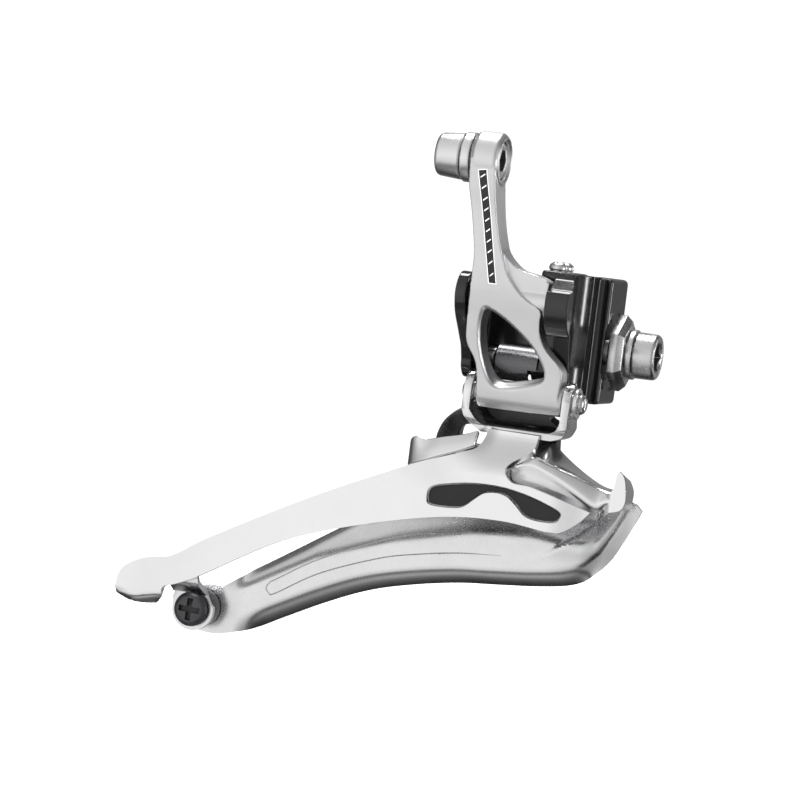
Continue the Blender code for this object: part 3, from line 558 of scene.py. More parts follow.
def support_body():
    top, foot = 13.6, -10.0
    block = box("block", (-6, -6.5, foot), (0, 6.5, top), 0.9)
    front_outline = (
        [(-5, top), (-18.3, 13.9), (-20.4, 13.7), (-22.9, 12.6), (-25.1, 10.6)]
        + arc(ARM_PIVOT, 6, 158, 300)
        + [(-17.2, -2.2), (-16.6, -4.2)]
        + arc(LINK_PIVOT, 3.6, 190, 290, 14)
        + [(-8.5, -9.4), (-5, -9.6)])
    front = plate("front", [front_outline], "YZ", -6.8, -2.4, 0.8)
    rear_outline = (
        [(-5, 11), (-15, 11.8)]
        + arc(ARM_PIVOT, 4, 80, 190, 22)
        + smooth_line([(-25.6, 6.2), (-24.4, 4.2), (-21, 1), (-18, -1.8)], 5)
        + arc(LINK_PIVOT, 3.7, 185, 300, 16)
        + [(-5, -4)])
    rear = plate("rear", [rear_outline], "YZ", -24.4, -22.4, 0.5)
    web = box("web", (-24, -8, -2.5), (-4, -4, 11.5), 0.7)
    tab = box("tab", (-11.2, -16.3, 9.6), (-5, -5, 13.9), 0.6)
    body = join(block, [front, rear, web, tab])
    cutters = [
        rod("flute", 17.8, -12, 15, (14, -17.6), 240, "Z"),
        rod("groove", 1.2, -12, 15, (-1.5, -7.2), 32, "Z"),
        rod("spot_face", 7.4, -0.3, 2, (0, 0), 96),
        rod("bolt_hole", BOLT_HOLE, -8, 2, (0, 0))]
    for name, pivot in (("arm_pin_hole", ARM_PIVOT), ("link_pin_hole", LINK_PIVOT)):
        cutters.append(rod(name, PIN_HOLE, -30, -4.6, pivot, 32))
    for node in ("low_limit_screw", "high_limit_screw"):
        centre = middle(node)
        cutters.append(rod(node + "_hole", SCREW_HOLE, 5, 16, (centre.x, centre.y),
                           28, "Z"))
    return forge("body_casting", cut(body, cutters), 0.16)


def hex_washer():
    """Hexagonal washer with a flat to the front, its sides tapered at the bolt's side."""
    low, high = reach("tab_hex_washer")
    corner = (high.z - low.z) / 2
    outline = [(low.x, corner - 0.2), (low.x + 0.2, corner), (low.x + 1.5, corner),
               (high.x - 0.1, corner - 1), (high.x, corner - 1.15)]
    sections = [[(x, y, z) for y, z in arc((0, 0), radius, 90, 390, 5)]
                for x, radius in outline]
    hexagon = round_edges(prism("hex_washer", sections), 0.1, 2, 14)
    return cut(hexagon, [rod("bore", BOLT_HOLE, low.x - 1, high.x + 1, (0, 0))])


def ring_washer(name, node, radius, hole, axis="X"):
    centre = middle(node)
    low, high = reach(node)
    along = "XYZ".index(axis)
    start, end = low[along], high[along]
    across = [centre[k] for k in range(3) if k != along]
    corners = [(hole, start), (hole, end), (radius, end), (radius, start), (hole, start)]
    seam = (hole, (start + end) / 2)
    profile = [seam, *soft_profile(corners, 0.22)[1:-1], seam]
    return turned(name, profile, across, axis=axis)


def fixing_bolt():
    low, high = reach("fixing_bolt")
    end = high.x
    bolt = turned("fixing_bolt_detail", [
        (0, end - 0.05), (3.3, end - 0.05), (3.5, end), (3.95, end), (4.3, end - 0.5),
        (4.34, 6.9), (4.36, 4.9), (2.4, 4.9), (2.4, low.x + 0.6), (1.8, low.x),
        (0, low.x)], (0, 0), 96, 0.2)
    socket = rod("socket", 2.95, end - 3, end + 1, (0, 0), 6)
    lead_in = turned("lead", [
        (0, end + 1), (3.6, end + 0.5), (2.5, end - 0.6), (0, end - 0.6)], (0, 0), 48)
    return round_edges(cut(bolt, [socket, lead_in]), 0.1, 2, 40)


def limit_screw(node):
    centre = middle(node)
    low, high = reach(node)
    top = high.z
    screw = turned(node + "_detail", [
        (0, top), (0.9, top - 0.05), (1.55, top - 0.5), (1.75, top - 1), (1.75, top - 1.5),
        (1.5, top - 1.5), (1.5, low.z + 0.5), (1, low.z),
        (0, low.z)], (centre.x, centre.y), 48, 0.2, "Z")
    slots = []
    for turn, size in (("a", (1.45, 0.24)), ("b", (0.24, 1.45))):
        slots.append(box(
            "slot_" + turn, (centre.x - size[0], centre.y - size[1], top - 0.95),
            (centre.x + size[0], centre.y + size[1], top + 1)))
    return round_edges(cut(screw, slots), 0.06, 2, 40)


def plain_pin(node):
    centre = middle(node)
    low, high = reach(node)
    end_dome = 0.25
    return turned(node + "_detail", [
        (0, high.x), (1.2, high.x - 0.02), (PIN_RADIUS, high.x - end_dome),
        (PIN_RADIUS, low.x + end_dome), (1.2, low.x + 0.02),
        (0, low.x)], (centre.y, centre.z), 48, 0.3)


def lower_outer_pin():
    low = reach("lower_outer_pin")[0]
    return turned("lower_outer_pin_detail", [
        (0, 0.9), (0.9, 0.85), (1.6, 0.5), (1.9, -0.05), (1.9, -0.3), (PIN_RADIUS, -0.3),
        (PIN_RADIUS, low.x + 0.5), (1.2, low.x), (0, low.x)], CAGE_PIVOT, 64, 0.35)


def return_spring():
    """Torsion coil round the link's upper pin, a leg on the web and one on the link."""
    turns, per_turn, radius, wire = 5.75, 40, 2.38, 0.3
    first, pitch = -17.3, 0.93
    centre = Vector((0, *LINK_PIVOT))
    foot = centre.z - radius
    points = smooth_line([
        (first, -8.8, -1.4), (first, -8.8, foot + 1.2), (first, -9.7, foot + 0.05)], 5)
    for step in range(int(turns * per_turn) + 1):
        angle = radians(270) - 2 * pi * step / per_turn
        points.append(Vector((first + pitch * step / per_turn,
                              centre.y + radius * cos(angle),
                              centre.z + radius * sin(angle))))
    points.append(centre + Vector((points[-1].x, 3.3, -2.6)))
    points.append(centre + Vector((points[-1].x, 3.9, -5.6)))
    return tube("return_spring_coil", [point * MM for point in points], wire, 4)


def spring_cover():
    """Half-round cover over the front and top of the coil, open behind for its legs."""
    low, high = reach("spring_cover")
    pieces = []
    for start, end, foot in ((low.x, high.x - 1.7, 255), (high.x - 2, high.x, 195)):
        section = arc(LINK_PIVOT, 3.4, 75, foot, 48) + arc(LINK_PIVOT, 3, foot, 75, 48)
        pieces.append(plate("spring_cover_pressing", [section], "YZ", start, end))
    return round_edges(join(pieces[0], pieces[1:]), 0.1, 2, 40)


# ---- outer arm

ARM_SECTION = (     # z, front face y, back face y
    (38, -29, -21.6), (32.7, -29, -21.4), (28, -28.3, -21), (23, -27.3, -20.6),
    (15, -26.3, -19.8), (9, -25.4, -19.4), (3, -23.9, -19), (-5, -21.9, -17.4),
    (-10.5, -20.6, -16), (-12.6, -19.4, -15.7))
BOSS_X = (-23.9, -18.3)
BOSS_RADIUS = 5.1
ARM_CURVES = [smooth_line([(row[0], row[side]) for row in ARM_SECTION], 6)
              for side in (1, 2)]


def onto_arm(x, y, z):
    """Flat arm space to the real arm: y 0 is the front face and y 1 the back face."""
    front, back = [value_along(line, z) for line in ARM_CURVES]
    return (x, front + (back - front) * y, z)


def arm_layer(name, outline, near, far, edge):
    """A flat outline bent onto the arm, between two shares of its thickness."""
    layer = plate(name, [outline], "XZ", near, far)
    slice_up(layer, 0, 1.5)
    move_points(layer, onto_arm)
    return round_edges(layer, edge, 3, 50)


def outer_arm():
    left = smooth_line([
        (-23.7, 32.6), (-23.6, 28), (-22.9, 24), (-22, 18.7), (-21.6, 15), (-21.7, 11.4),
        (-22, 5.4), (-22.1, 0.3), (-21.6, -1.6), (-20.5, -3.4), (-19.9, -5), (-19.6, -7.5),
        (-19.5, -11.6)], 5)
    foot = smooth_line([
        (-19.3, -12.2), (-18.7, -12.5), (-11.5, -12.5), (-4.4, -12.3), (-3.9, -12)], 3)
    right = smooth_line([
        (-3.8, -11.5), (-3.9, -8.5), (-3.5, -5.2), (-4.2, -3.2), (-6.6, -0.8), (-7.9, 1.3),
        (-8.2, 4), (-8.2, 6.4), (-10.4, 7.7), (-12.4, 9.2), (-14.7, 12), (-16.2, 15.7),
        (-17.3, 19.4), (-18.1, 23.7), (-18.7, 29), (-18.9, 32.6)], 5)
    arm = arm_layer("arm", left + foot + right, 0, 1, 0.55)

    wing_line = smooth_line([
        (-18.2, 23), (-17.6, 19.6), (-16.2, 16.2), (-13.4, 13.6), (-9.9, 12.8),
        (-7.6, 11.9), (-7.3, 11.2), (-7.4, 9.6), (-7.9, 7.4), (-8.3, 5.4)], 4)
    wing_line += [(-13, 5), (-20, 13), (-20.2, 22)]
    wing = arm_layer("wing", wing_line, 0.2, 0.96, 0.35)

    boss_end, boss_start = BOSS_X
    boss = turned("boss", [
        (0, boss_start), (4.3, boss_start), (BOSS_RADIUS, boss_start - 0.9),
        (BOSS_RADIUS, boss_end + 0.8), (4.5, boss_end), (0, boss_end)],
        CLAMP_AXIS, 96, 0.3)
    barrel = rod("barrel", ARM_BARREL, -22.1, -7.1, ARM_PIVOT, 64)
    foot_barrel = turned("foot_barrel", [
        (0, -3.3), (ARM_BARREL, -3.3), (ARM_BARREL, -19.5), (0, -19.5)],
        CAGE_PIVOT, 64, 0.4)
    stop = box("stop", (-10.4, -20.5, 5.2), (-8.1, -12.6, 7), 0.4)
    arm = join(arm, [wing, boss, barrel, foot_barrel, stop])

    window = smooth_line([
        (-18.9, 5.4), (-17.4, 5.3), (-14.1, 3.4), (-10.1, 0.2), (-7.9, -2.7), (-7, -5.3),
        (-8.6, -6.7), (-13.1, -7.9), (-16, -8), (-17.7, -6.1), (-19.1, -1.9),
        (-19.5, 2)], 6, closed=True)

    def at(loop, along, lift):
        line = []
        for point in loop:
            raised = lift * (1 - ramp(point[1], -8, -3))
            x, y, z = onto_arm(point[0], along, point[1])
            line.append((x, y, z + raised))
        return line

    opening = prism("window", [
        at(inset(window, -0.5), -0.2, -0.5), at(inset(window, -0.4), 0.02, -0.4),
        at(window, 0.13, -0.2), at(inset(window, 0.1), 0.6, 0.5),
        at(inset(window, 0.1), 1.5, 1.2)])
    cutters = [
        opening,
        turned("recess", [
            (0, -15), (4.4, -15), (4.2, -18.2), (3.7, -18.9), (3.7, -20.9),
            (0, -20.9)], CLAMP_AXIS, 64),
        rod("boss_bore", CLAMP_HOLE, -28, -19, CLAMP_AXIS),
        rod("barrel_bore", PIN_HOLE, -30, 1, ARM_PIVOT, 32),
        rod("bush_seat_left", 2.4, -24, -20.1, ARM_PIVOT, 32),
        rod("bush_seat_right", 2.4, -9.1, -6, ARM_PIVOT, 32),
        rod("foot_bore", PIN_HOLE, -30, 1, CAGE_PIVOT, 32)]
    return forge("arm_casting", cut(arm, cutters), 0.15)


STRIPE = (      # x, z and width down the printed stripe
    (-21.15, 30.5, 1.5), (-20.25, 25.5, 1.45), (-19.38, 20.5, 1.4), (-18.5, 15.5, 1.35),
    (-17.6, 10.4, 1.3))


def stripe_loop(grow):
    """Outline of the stripe, made larger all round by grow."""
    line = smooth_line(STRIPE, 8)
    left = [(p.x - p.z / 2 - grow, p.y) for p in line]
    right = [(p.x + p.z / 2 + grow, p.y) for p in line]
    left[0] = (left[0][0], left[0][1] + grow)
    right[0] = (right[0][0], right[0][1] + grow + 0.25)
    left[-1] = (left[-1][0], left[-1][1] - grow)
    right[-1] = (right[-1][0], right[-1][1] - grow)
    return left + right[::-1]


def printed(name, loops, lift, arm):
    """Ink on the arm: a thin film pressed against the casting's front face."""
    film = plate(name, loops, "XZ", -32, -32)
    slice_up(film, 0.4, 0.4)
    press = film.modifiers.new("Press", "SHRINKWRAP")
    press.wrap_method = "PROJECT"
    press.target = arm
    press.use_project_y = True
    press.offset = lift * MM
    film = apply(film)
    if film.data.polygons[0].normal.y > 0:
        film.data.flip_normals()
    solid = film.modifiers.new("Film", "SOLIDIFY")
    solid.thickness = 0.02 * MM
    solid.offset = 1.0
    return apply(film)


def arm_print(arm):
    ticks = []
    line = smooth_line(STRIPE, 8)
    for k in range(2, len(line) - 2, 3):
        spot = line[k]
        half = spot.z / 2 - 0.34
        ticks.append([(spot.x - half, spot.y - 0.42), (spot.x - half, spot.y - 0.18),
                      (spot.x + half, spot.y + 0.42), (spot.x + half, spot.y + 0.18)])
    border = printed("stripe_border", [stripe_loop(0.12), stripe_loop(0)], 0.03, arm)
    stripe = printed("stripe_ink", [stripe_loop(0)], 0.03, arm)
    hatch = printed("stripe_hatch", ticks, 0.055, arm)
    return border, stripe, hatch


def clamp_barrel():
    return turned("clamp_barrel_detail", [
        (0, -29.4), (CLAMP_HOLE, -29.4), (CLAMP_HOLE, -26.2), (4.05, -26.2), (4.3, -26.45),
        (3.95, -30.5), (3.6, -31), (0, -31)], CLAMP_AXIS, 96, 0.25)


def clamp_washer():
    profile = soft_profile([
        (CLAMP_HOLE, -24.2), (4.6, -24.2), (4.6, -25.9), (CLAMP_HOLE, -25.9)], 0.25)
    seam = (CLAMP_HOLE, -25)
    return turned("clamp_washer_detail", [seam, *profile, seam], CLAMP_AXIS, 96)


def clamp_bolt():
    bolt = turned("clamp_bolt_detail", [
        (0, -18.9), (2.9, -18.9), (3.3, -19.3), (3.3, -20.6), (2.5, -20.6), (2.5, -28.6),
        (2, -29.1), (0, -29.1)], CLAMP_AXIS, 72, 0.2)
    socket = rod("clamp_socket", 2.2, -20.4, -18, CLAMP_AXIS, 6)
    return round_edges(cut(bolt, [socket]), 0.1, 2, 40)


# ---- inner link

def inner_link():
    """Forked link: drawn flat under its upper pivot, then leaned to the rest angle."""
    drop = LINK_LENGTH
    outline = (
        [(-22.1, 0), (-18.3, 0), (-18.3, -4.4), (-11.2, -4.4), (-11.2, 0), (-7.1, 0),
         (-7.1, -9.6), (-5.5, -10.6), (-5.5, -drop), (-10.2, -drop)]
        + smooth_line([(-10.2, -14.6), (-11.6, -12.7), (-14, -12.3)], 6)
        + smooth_line([(-20.5, -12.3), (-23.3, -12.6), (-24.5, -14.4), (-24.8, -drop)], 6)
        + smooth_line([(-29, -drop), (-28.9, -15.4), (-27.6, -12.4), (-25.4, -10.4),
                       (-22.1, -9.2)], 6))
    arm = plate("link", [outline], "XZ", -1.6, 1.6, 0.6)
    arm.data.transform(Matrix.Translation(Vector((0, *LINK_PIVOT)) * MM)
                       @ Matrix.Rotation(REST_LEAN, 4, "X"))
    arm = join(arm, [
        rod("rear_eye", 2.7, -22.1, -18.3, LINK_PIVOT),
        rod("front_eye", 2.7, -11.2, -7.1, LINK_PIVOT),
        rod("rear_foot", 2.6, -29, -24.8, TAIL_PIVOT),
        rod("front_foot", 2.6, -10.2, -5.5, TAIL_PIVOT)])
    return forge("link_casting", cut(arm, [
        rod("spring_room", 3.7, -18.3, -11.2, LINK_PIVOT, 64),
        rod("pin_bore", PIN_HOLE, -30, 1, LINK_PIVOT, 32),
        rod("foot_bore", PIN_HOLE, -31, 1, TAIL_PIVOT, 32)]), 0.18)


# ---- chain cage

OUTER_PLATE_Y = -25.5
INNER_PLATE_Y = -12.6


def outer_plate_depth(x, z):
    """The outer plate leans in at its neck, its tail lip folds back, its nose turns."""
    neck = 4.2 * ramp(z, -24.5, -16.5) * ramp(x, -23, -13.5)
    shoulder = 0.9 * ramp(z + 0.45 * x, -41, -30) * (1 - ramp(x, -24, -10))
    tail = 1.4 * ramp(-x, 55, 84) ** 2
    nose = 1.0 * ramp(x, -2, 6)
    fold = max(-54.9 - 0.3 * (x + 84.7), -56.2 - 0.3 * abs(x + 80.3))
    if x > -80.3:
        fold = -56.2 + 0.26 * (x + 80.3)
    lip = 2.0 * ramp(fold - z, 0, 2.2) * (1 - ramp(x, -76, -73))
    return OUTER_PLATE_Y + neck + shoulder + tail + nose + lip


WINDOW = [
    (-24.9, -30.2), (-24.4, -27.9), (-20.6, -26.8), (-15.8, -26.1), (-10.9, -26.1),
    (-6.9, -26.7), (-2.9, -27.8), (0.2, -29.1), (0.4, -30.4), (-0.7, -31.3), (-3.9, -31.4),
    (-6.2, -30.8), (-8, -29.2), (-9.7, -27.9), (-11.7, -27.4), (-14.1, -27.8),
    (-15.8, -29.1), (-17.8, -30.8), (-20, -31.3), (-24, -31.3)]


def outer_cage_plate():
    top = smooth_line([
        (-84, -55), (-83, -51.6), (-79, -49.1), (-73, -47.7), (-66, -43.3), (-48, -33.5),
        (-30.7, -25.3), (-20.5, -21.3), (-17.2, -19.9), (-15.9, -16.2)], 8)
    slot = smooth_line([
        (-6.4, -16.3), (-6.9, -19.6), (-9.9, -21.9), (-10.8, -23.4), (-9.2, -25.1),
        (-5.7, -25.5), (0.2, -27), (5.7, -28.6)], 8)
    bottom = smooth_line([
        (4.4, -30.2), (1.3, -32.6), (-1.5, -33.1), (-10.5, -32.3), (-22, -33.2),
        (-37, -36.8), (-52, -42.1), (-66.8, -50.6), (-71.5, -52.9), (-74, -53.8),
        (-74.5, -55.4), (-75.9, -56.9), (-80.5, -57.1), (-83.6, -56)], 8)
    window = smooth_line(WINDOW, 6, closed=True)
    return sheet_metal("outer_plate_pressing", [top + slot + bottom, window], 1.2,
                       outer_plate_depth, 0.9, 0.32)


def window_inlay():
    """Thin dark sheet set into the outer plate's window, a little below its face: painted
    shade for the dark seen through the window.
    """
    outline = inset(smooth_line(WINDOW, 6, closed=True), 0.3)
    return sheet_metal("window_painted_shade_sheet", [outline], 0.7,
                       lambda x, z: outer_plate_depth(x, z) + 0.25, 0.9, 0.15)


INNER_COLUMNS = (       # x, z of the top edge, then x, z of the rim below or before it
    (-73.8, -57, -73.8, -58.4), (-72.4, -54.9, -72.4, -60.9), (-69.5, -53.4, -69.5, -62.2),
    (-66.2, -53.2, -65.5, -62.2), (-63.5, -51.6, -61, -60.8), (-57.5, -47.8, -54.6, -57.4),
    (-50.5, -43.2, -46, -53), (-43.6, -38.6, -38, -49.6), (-36, -33.6, -30, -47.4),
    (-28.5, -28.9, -21, -45.7), (-21, -26.4, -13, -44.9), (-13, -25.7, -5.5, -44.1),
    (-6, -25.5, 0.5, -43), (-0.5, -25.6, 4.6, -41), (4, -26, 7.4, -37.9),
    (7.2, -26.3, 9.6, -33.9), (9.6, -26.6, 11.2, -30.3), (11, -26.9, 12.1, -28))
NOSE_RIM = [column[2:] for column in INNER_COLUMNS[-6:]]
NOSE_CREASE = (     # (z, x) of the fold that runs down behind the nose
    (-27, 5.3), (-28.8, 5), (-31.6, 4.1), (-34.3, 1.5), (-36.1, -1.2), (-37.7, -3.5),
    (-38.7, -5.3), (-50, -7))
POCKET = (
    (-20.5, -36.9), (-28.7, -37.9), (-36.3, -40.3), (-47.6, -45.4), (-55.2, -50.1),
    (-56.8, -51.2), (-57.3, -52.3), (-56.7, -53.1), (-55.4, -53), (-47.2, -48),
    (-35.9, -43.5), (-28.2, -41.6), (-20.6, -40.3), (-12.5, -39.6))
OUTER_EDGE = (
    (-71.5, -52.9), (-66.8, -50.6), (-52, -42.1), (-37, -36.8), (-22, -33.2),
    (-10.5, -32.3), (-1.5, -33.1), (1.3, -32.6), (5.7, -28.6))


def line_gap(line, x, z):
    """Shortest distance from a place to a run of straight pieces."""
    spot, gap = Vector((x, z)), 1000.0
    for start, end in zip(line, line[1:]):
        first, run = Vector(start), Vector(end) - Vector(start)
        t = min(max((spot - first).dot(run) / run.length_squared, 0), 1)
        gap = min(gap, (spot - first - run * t).length)
    return gap


def inner_plate_depth(x, z, top_gap, rim_gap):
    """Tail tab in front, lower half stepped towards the chain, edges rolled away."""
    body = ramp(x, -66, -61)
    nose = ramp(x, 1, 6)
    depth = -14.8 + (INNER_PLATE_Y + 14.8) * body
    under = value_along(OUTER_EDGE, x - 3.3) - 0.7 - z
    depth -= 1.9 * ramp(under, -3, 3.5) * body * (1 - ramp(x, 2, 12))
    depth += 1.2 * ramp(x, -4, 14)
    rolled = ramp(x, -63, -57)
    depth += 3.0 * rolled * (1 - nose) * max(0, 1 - rim_gap / 3.2) ** 2
    depth += 1.3 * rolled * (1 - ramp(x, -40, -33)) * max(0, 1 - top_gap / 1.5) ** 2
    depth += 1.0 * nose * (1 - ramp(line_gap(NOSE_RIM, x, z), 2.3, 2.9))
    past_crease = x - value_along(NOSE_CREASE, z)
    return depth - 0.65 * ramp(past_crease, -0.3, 0.3) * ramp(z, -39.5, -34.5)


def inner_cage_plate():
    tops = smooth_line([column[:2] for column in INNER_COLUMNS], 12)
    rims = smooth_line([column[2:] for column in INNER_COLUMNS], 12)
    cells = 56
    points = []
    for top, rim in zip(tops, rims):
        height = (rim - top).length
        for k in range(cells + 1):
            share = k / cells
            place = top.lerp(rim, share)
            depth = inner_plate_depth(place.x, place.y, share * height,
                                      (1 - share) * height)
            points.append(Vector((place.x, depth, place.y)) * MM)
    faces = grid_faces(len(tops), cells + 1)
    obj = thicken(mesh_object("inner_plate_pressing", points, faces), 1, 0.25)
    return cut(obj, [rod("screw_hole", SCREW_HOLE, -18, -11, SCREW_PLACE, 40, "Y"),
                     scored_line("pocket_line", POCKET, obj, 0.13)])


def scored_line(name, path, sheet, radius):
    """A thin tube that lies along a sheet's front face and fades out at both its ends."""
    points, sizes = [], []
    line = smooth_line(path, 8)
    for k, place in enumerate(line):
        start = Vector((place[0], -40, place[1])) * MM
        hit, spot, *_ = sheet.ray_cast(start, Vector((0, 1, 0)))
        points.append(spot if hit else start)
        sizes.append(0.25 + 0.75 * ramp(min(k, len(line) - 1 - k), 0, 9))
    return tube(name, points, radius, 2, sizes)


def outer_plate_tail_tab():
    neck = smooth_line([(-68.3, -50.6), (-67.6, -53), (-65.9, -56.3)], 6)
    ring = arc(SCREW_PLACE, 4.1, 10, -190, 48)
    outline = [(-73.9, -52), *neck, *ring, (-73.6, -54.6)]
    hole = arc(SCREW_PLACE, SCREW_HOLE, 0, 352.5, 47)
    return sheet_metal("tail_tab_pressing", [outline, hole], 1.1,
                       lambda x, z: -23.15 + 2.6 * ramp(-z, 52.2, 54.6), 0.6, 0.25)


def tail_screw():
    low, high = reach("tail_screw")
    screw = turned("tail_screw_detail", [
        (0, high.y), (1.1, high.y), (1.5, high.y - 0.4), (1.5, -21.7), (3.2, -21.7),
        (3.3, -22), (3.15, -22.5), (2.5, -22.95), (1.4, low.y),
        (0, low.y)], SCREW_PLACE, 72, 0.2, "Y")
    slots = []
    for name, half_x, half_z in (("a", 2.1, 0.54), ("b", 0.54, 2.1)):
        slot = box("cross_" + name, (-half_x, -1, -half_z), (half_x, 1, half_z))
        slot.location = Vector((SCREW_PLACE[0], -23, SCREW_PLACE[1])) * MM
        slot.rotation_euler = (0, radians(2), 0)
        slots.append(slot)
    return round_edges(cut(screw, slots), 0.12, 2, 40)


def pivot_bracket():
    """U-shaped bracket: its floor carries the plates, its two ears the lower arm pin."""
    low, high = reach("pivot_bracket")
    left_out, right_out = low.x, high.x
    left_in, right_in = left_out + 1.4, right_out - 1.4
    outer = ([(left_out, -5), (left_out, -13)]
             + smooth_line([(-21.2, -14.4), (-19.8, -15.9), (-17.8, -17)], 6)
             + smooth_line([(-4.5, -17), (-2.5, -16.2), (right_out, -14.4)], 6)
             + [(right_out, -5), (right_in, -5)])
    inner = (smooth_line([(right_in, -13.6), (-3.6, -15), (-5, -15.7)], 6)
             + smooth_line([(-17.6, -15.7), (-18.9, -14.8), (left_in, -13)], 6)
             + [(left_in, -5)])
    bracket = plate("pivot_bracket_pressing", [outer + inner], "XZ", -23.5, -13)
    y = CAGE_PIVOT[0]
    side = (arc(CAGE_PIVOT, 3.7, 0, 180, 32)
            + smooth_line([(y - 3.7, -13), (-21.3, -14.8), (-20.35, -15.8)], 4)
            + [(-20.3, -17.5)]
            + smooth_line([(-13.6, -17.5), (-13.6, -15), (y + 3.7, -13)], 4))
    profile = plate("side", [side], "YZ", -26, 2)
    bracket = combine(bracket, [profile], "INTERSECT")
    bracket = cut(bracket, [rod("hole", PIN_HOLE, -30, 2, CAGE_PIVOT)])
    return round_edges(bracket, 0.25, 3, 40)


def inner_pivot_bracket():
    """Strip behind the inner plate with two ears for the inner link's lower pin."""
    strip = box("inner_bracket_pressing", (-24.4, -11.7, -31), (-10.6, -10.5, -26.6))
    side = (arc(TAIL_PIVOT, 3.1, -20, 200, 28)
            + [(-11.7, -25.5), (-11.7, -31), (-10.5, -31), (-7, -25.5)])
    ears = [plate("ear_" + name, [side], "YZ", start, end)
            for name, start, end in (("rear", -24.4, -22.8), ("front", -12.2, -10.6))]
    strip = join(strip, ears)
    strip = cut(strip, [rod("hole", PIN_HOLE, -30, 2, TAIL_PIVOT)])
    return round_edges(strip, 0.22, 3, 40)


BRIDGE = (      # near edge and far edge (x, z), then the flange's wall y, bend z, foot z
    ((-11.7, -23.1), (-11.6, -22.4), -21.4, -23.7, -24.8),
    ((-10.2, -22), (-9.6, -20.4), -22.9, -22.8, -25.4),
    ((-8.2, -21.1), (-7.8, -19), -23.15, -22.1, -25.7),
    ((-6.9, -20.4), (-6.5, -18.2), -23.3, -21.9, -25.8),
    ((-5.6, -20.4), (-5.4, -18.4), -23.4, -22.1, -26),
    ((-3.6, -21.1), (-3.6, -19.9), -23.5, -22.8, -26.5),
    ((-1.3, -21.8), (-1.2, -21.6), -23.5, -23.7, -27),
    ((2.4, -23.1), (1.8, -23.4), -23.3, -25.6, -27.9),
    ((6, -24.5), (4.6, -24.7), -22.9, -27.6, -28.4),
    ((7.8, -24.9), (7, -25.1), -22.9, -26.6, -27.6),
    ((9.9, -25), (9.9, -25.2), -22.9, -26.2, -27))
HORN = ((7.6, -28), (7.4, -25.1), (8.5, -24.7), (9.2, -23.4), (9.4, -21.4), (9.9, -20.6),
        (10.9, -21.7), (11.4, -23.9), (11.5, -26.2), (10.5, -27.7))
WALL = (        # depth, then (x, z) down the outer wall
    (-23, (10.1, -21), (11, -24), (11, -26.2), (10.4, -27.5)),
    (-18.4, (9.8, -21.9), (10.7, -24.3), (10.6, -26.6), (10.4, -27.6)),
    (-13.7, (9.4, -22.7), (10.3, -24.6), (10.2, -26.9), (10.4, -27.8)))


def cage_bridge():
    """Front bridge over the chain: roof, front flange, and a raised horn in front."""
    rows = []
    for near, far, wall, bend_z, foot in BRIDGE:
        line = []
        for depth in (-12.9, -15.5, -18.5, -21.2):
            share = (depth + 12.9) / -8.3
            line.append((far[0] + (near[0] - far[0]) * share, depth,
                         far[1] + (near[1] - far[1]) * share))
        line += [(near[0], wall + out, z) for out, z in (
            (0.9, near[1] * 0.85 + bend_z * 0.15), (0.1, near[1] * 0.3 + bend_z * 0.7),
            (0.1, bend_z), (0.4, bend_z * 0.7 + foot * 0.3), (0.8, foot))]
        rows.append(line)
    bridge = skin("bridge_pressing", rows, 0.9, 0.25)
    horn = plate("horn", [smooth_line(HORN, 8, closed=True)], "XZ", -23.35, -22.5)
    slice_up(horn, 0.3, 0)
    move_points(horn, lambda x, y, z: (x, y + 0.62 * (1 - ramp(x, 7.3, 8.9)), z))
    horn = round_edges(horn, 0.3, 3, 60)
    wall = skin("wall", [[(x, depth, z) for x, z in line] for depth, *line in WALL],
                0.9, 0.3)
    return join(bridge, [horn, wall])


def rear_bridge():
    """Rear strap: runs along the outer plate's shoulder, then back over the chain."""
    stations = (    # x, y, bottom z, top z
        (-17.6, -23.6, -19.6, -16.9), (-20, -23.8, -20.7, -17.9),
        (-24, -23.9, -22.3, -18.9), (-27, -23.7, -23.6, -19.7),
        (-29.4, -22.7, -24.6, -19.4), (-30.4, -20.6, -25.2, -20.6),
        (-30.6, -17.6, -26.6, -22.4), (-30.6, -14, -28, -24.4))
    rows = []
    for x, y, bottom, top in stations:
        lean = 1.5 * (1 - ramp(-x, 28, 30.4))
        rows.append([(x, y, bottom), (x, y + lean * 0.35, (bottom + top) / 2),
                     (x, y + lean, top)])
    return skin("rear_bridge_pressing", rows, 1, 0.25)


# ---- pieces

place_piece(support_body(), "black_alloy", "support", "support_body", angle=60)
place_piece(hex_washer(), "bolt_steel", "support", "tab_hex_washer")
place_piece(ring_washer("bolt_washer_detail", "fixing_bolt_washer", 4.7, BOLT_HOLE),
            "bolt_steel", "support", "fixing_bolt_washer")
bolt = place_piece(fixing_bolt(), "bolt_steel", OWN, "fixing_bolt")
# The fixing bolt's hex socket is painted black: painted shade inside the recess.
darken_socket(bolt, "X", 8.0, reach("fixing_bolt")[1].x - 0.65, (0, 0), 3.0)
for node in ("low_limit_screw", "high_limit_screw"):
    place_piece(limit_screw(node), "zinc_steel", OWN, node)
for node in ("upper_outer_pin", "upper_inner_pin"):
    place_piece(plain_pin(node), "dark_steel", "support", node)
place_piece(return_spring(), "spring_steel", "support", "return_spring")
place_piece(spring_cover(), "cover_steel", "support", "spring_cover")

arm = place_piece(outer_arm(), "silver_alloy", "arm", "outer_arm", angle=60)
for film, surface in zip(arm_print(arm), ("print_white", "print_black", "print_white")):
    place_piece(film, surface, "arm")
place_piece(clamp_barrel(), "zinc_steel", OWN, "cable_clamp_barrel")
clamp = place_piece(clamp_bolt(), "zinc_steel", OWN, "cable_clamp_bolt")
# The clamp bolt's hex socket is painted black: painted shade inside the recess.
darken_socket(clamp, "X", -20.45, -19.05, CLAMP_AXIS, 2.3)
place_piece(clamp_washer(), "zinc_steel", OWN, "cable_clamp_washer")

place_piece(inner_link(), "black_alloy", "link", "inner_link", angle=60)

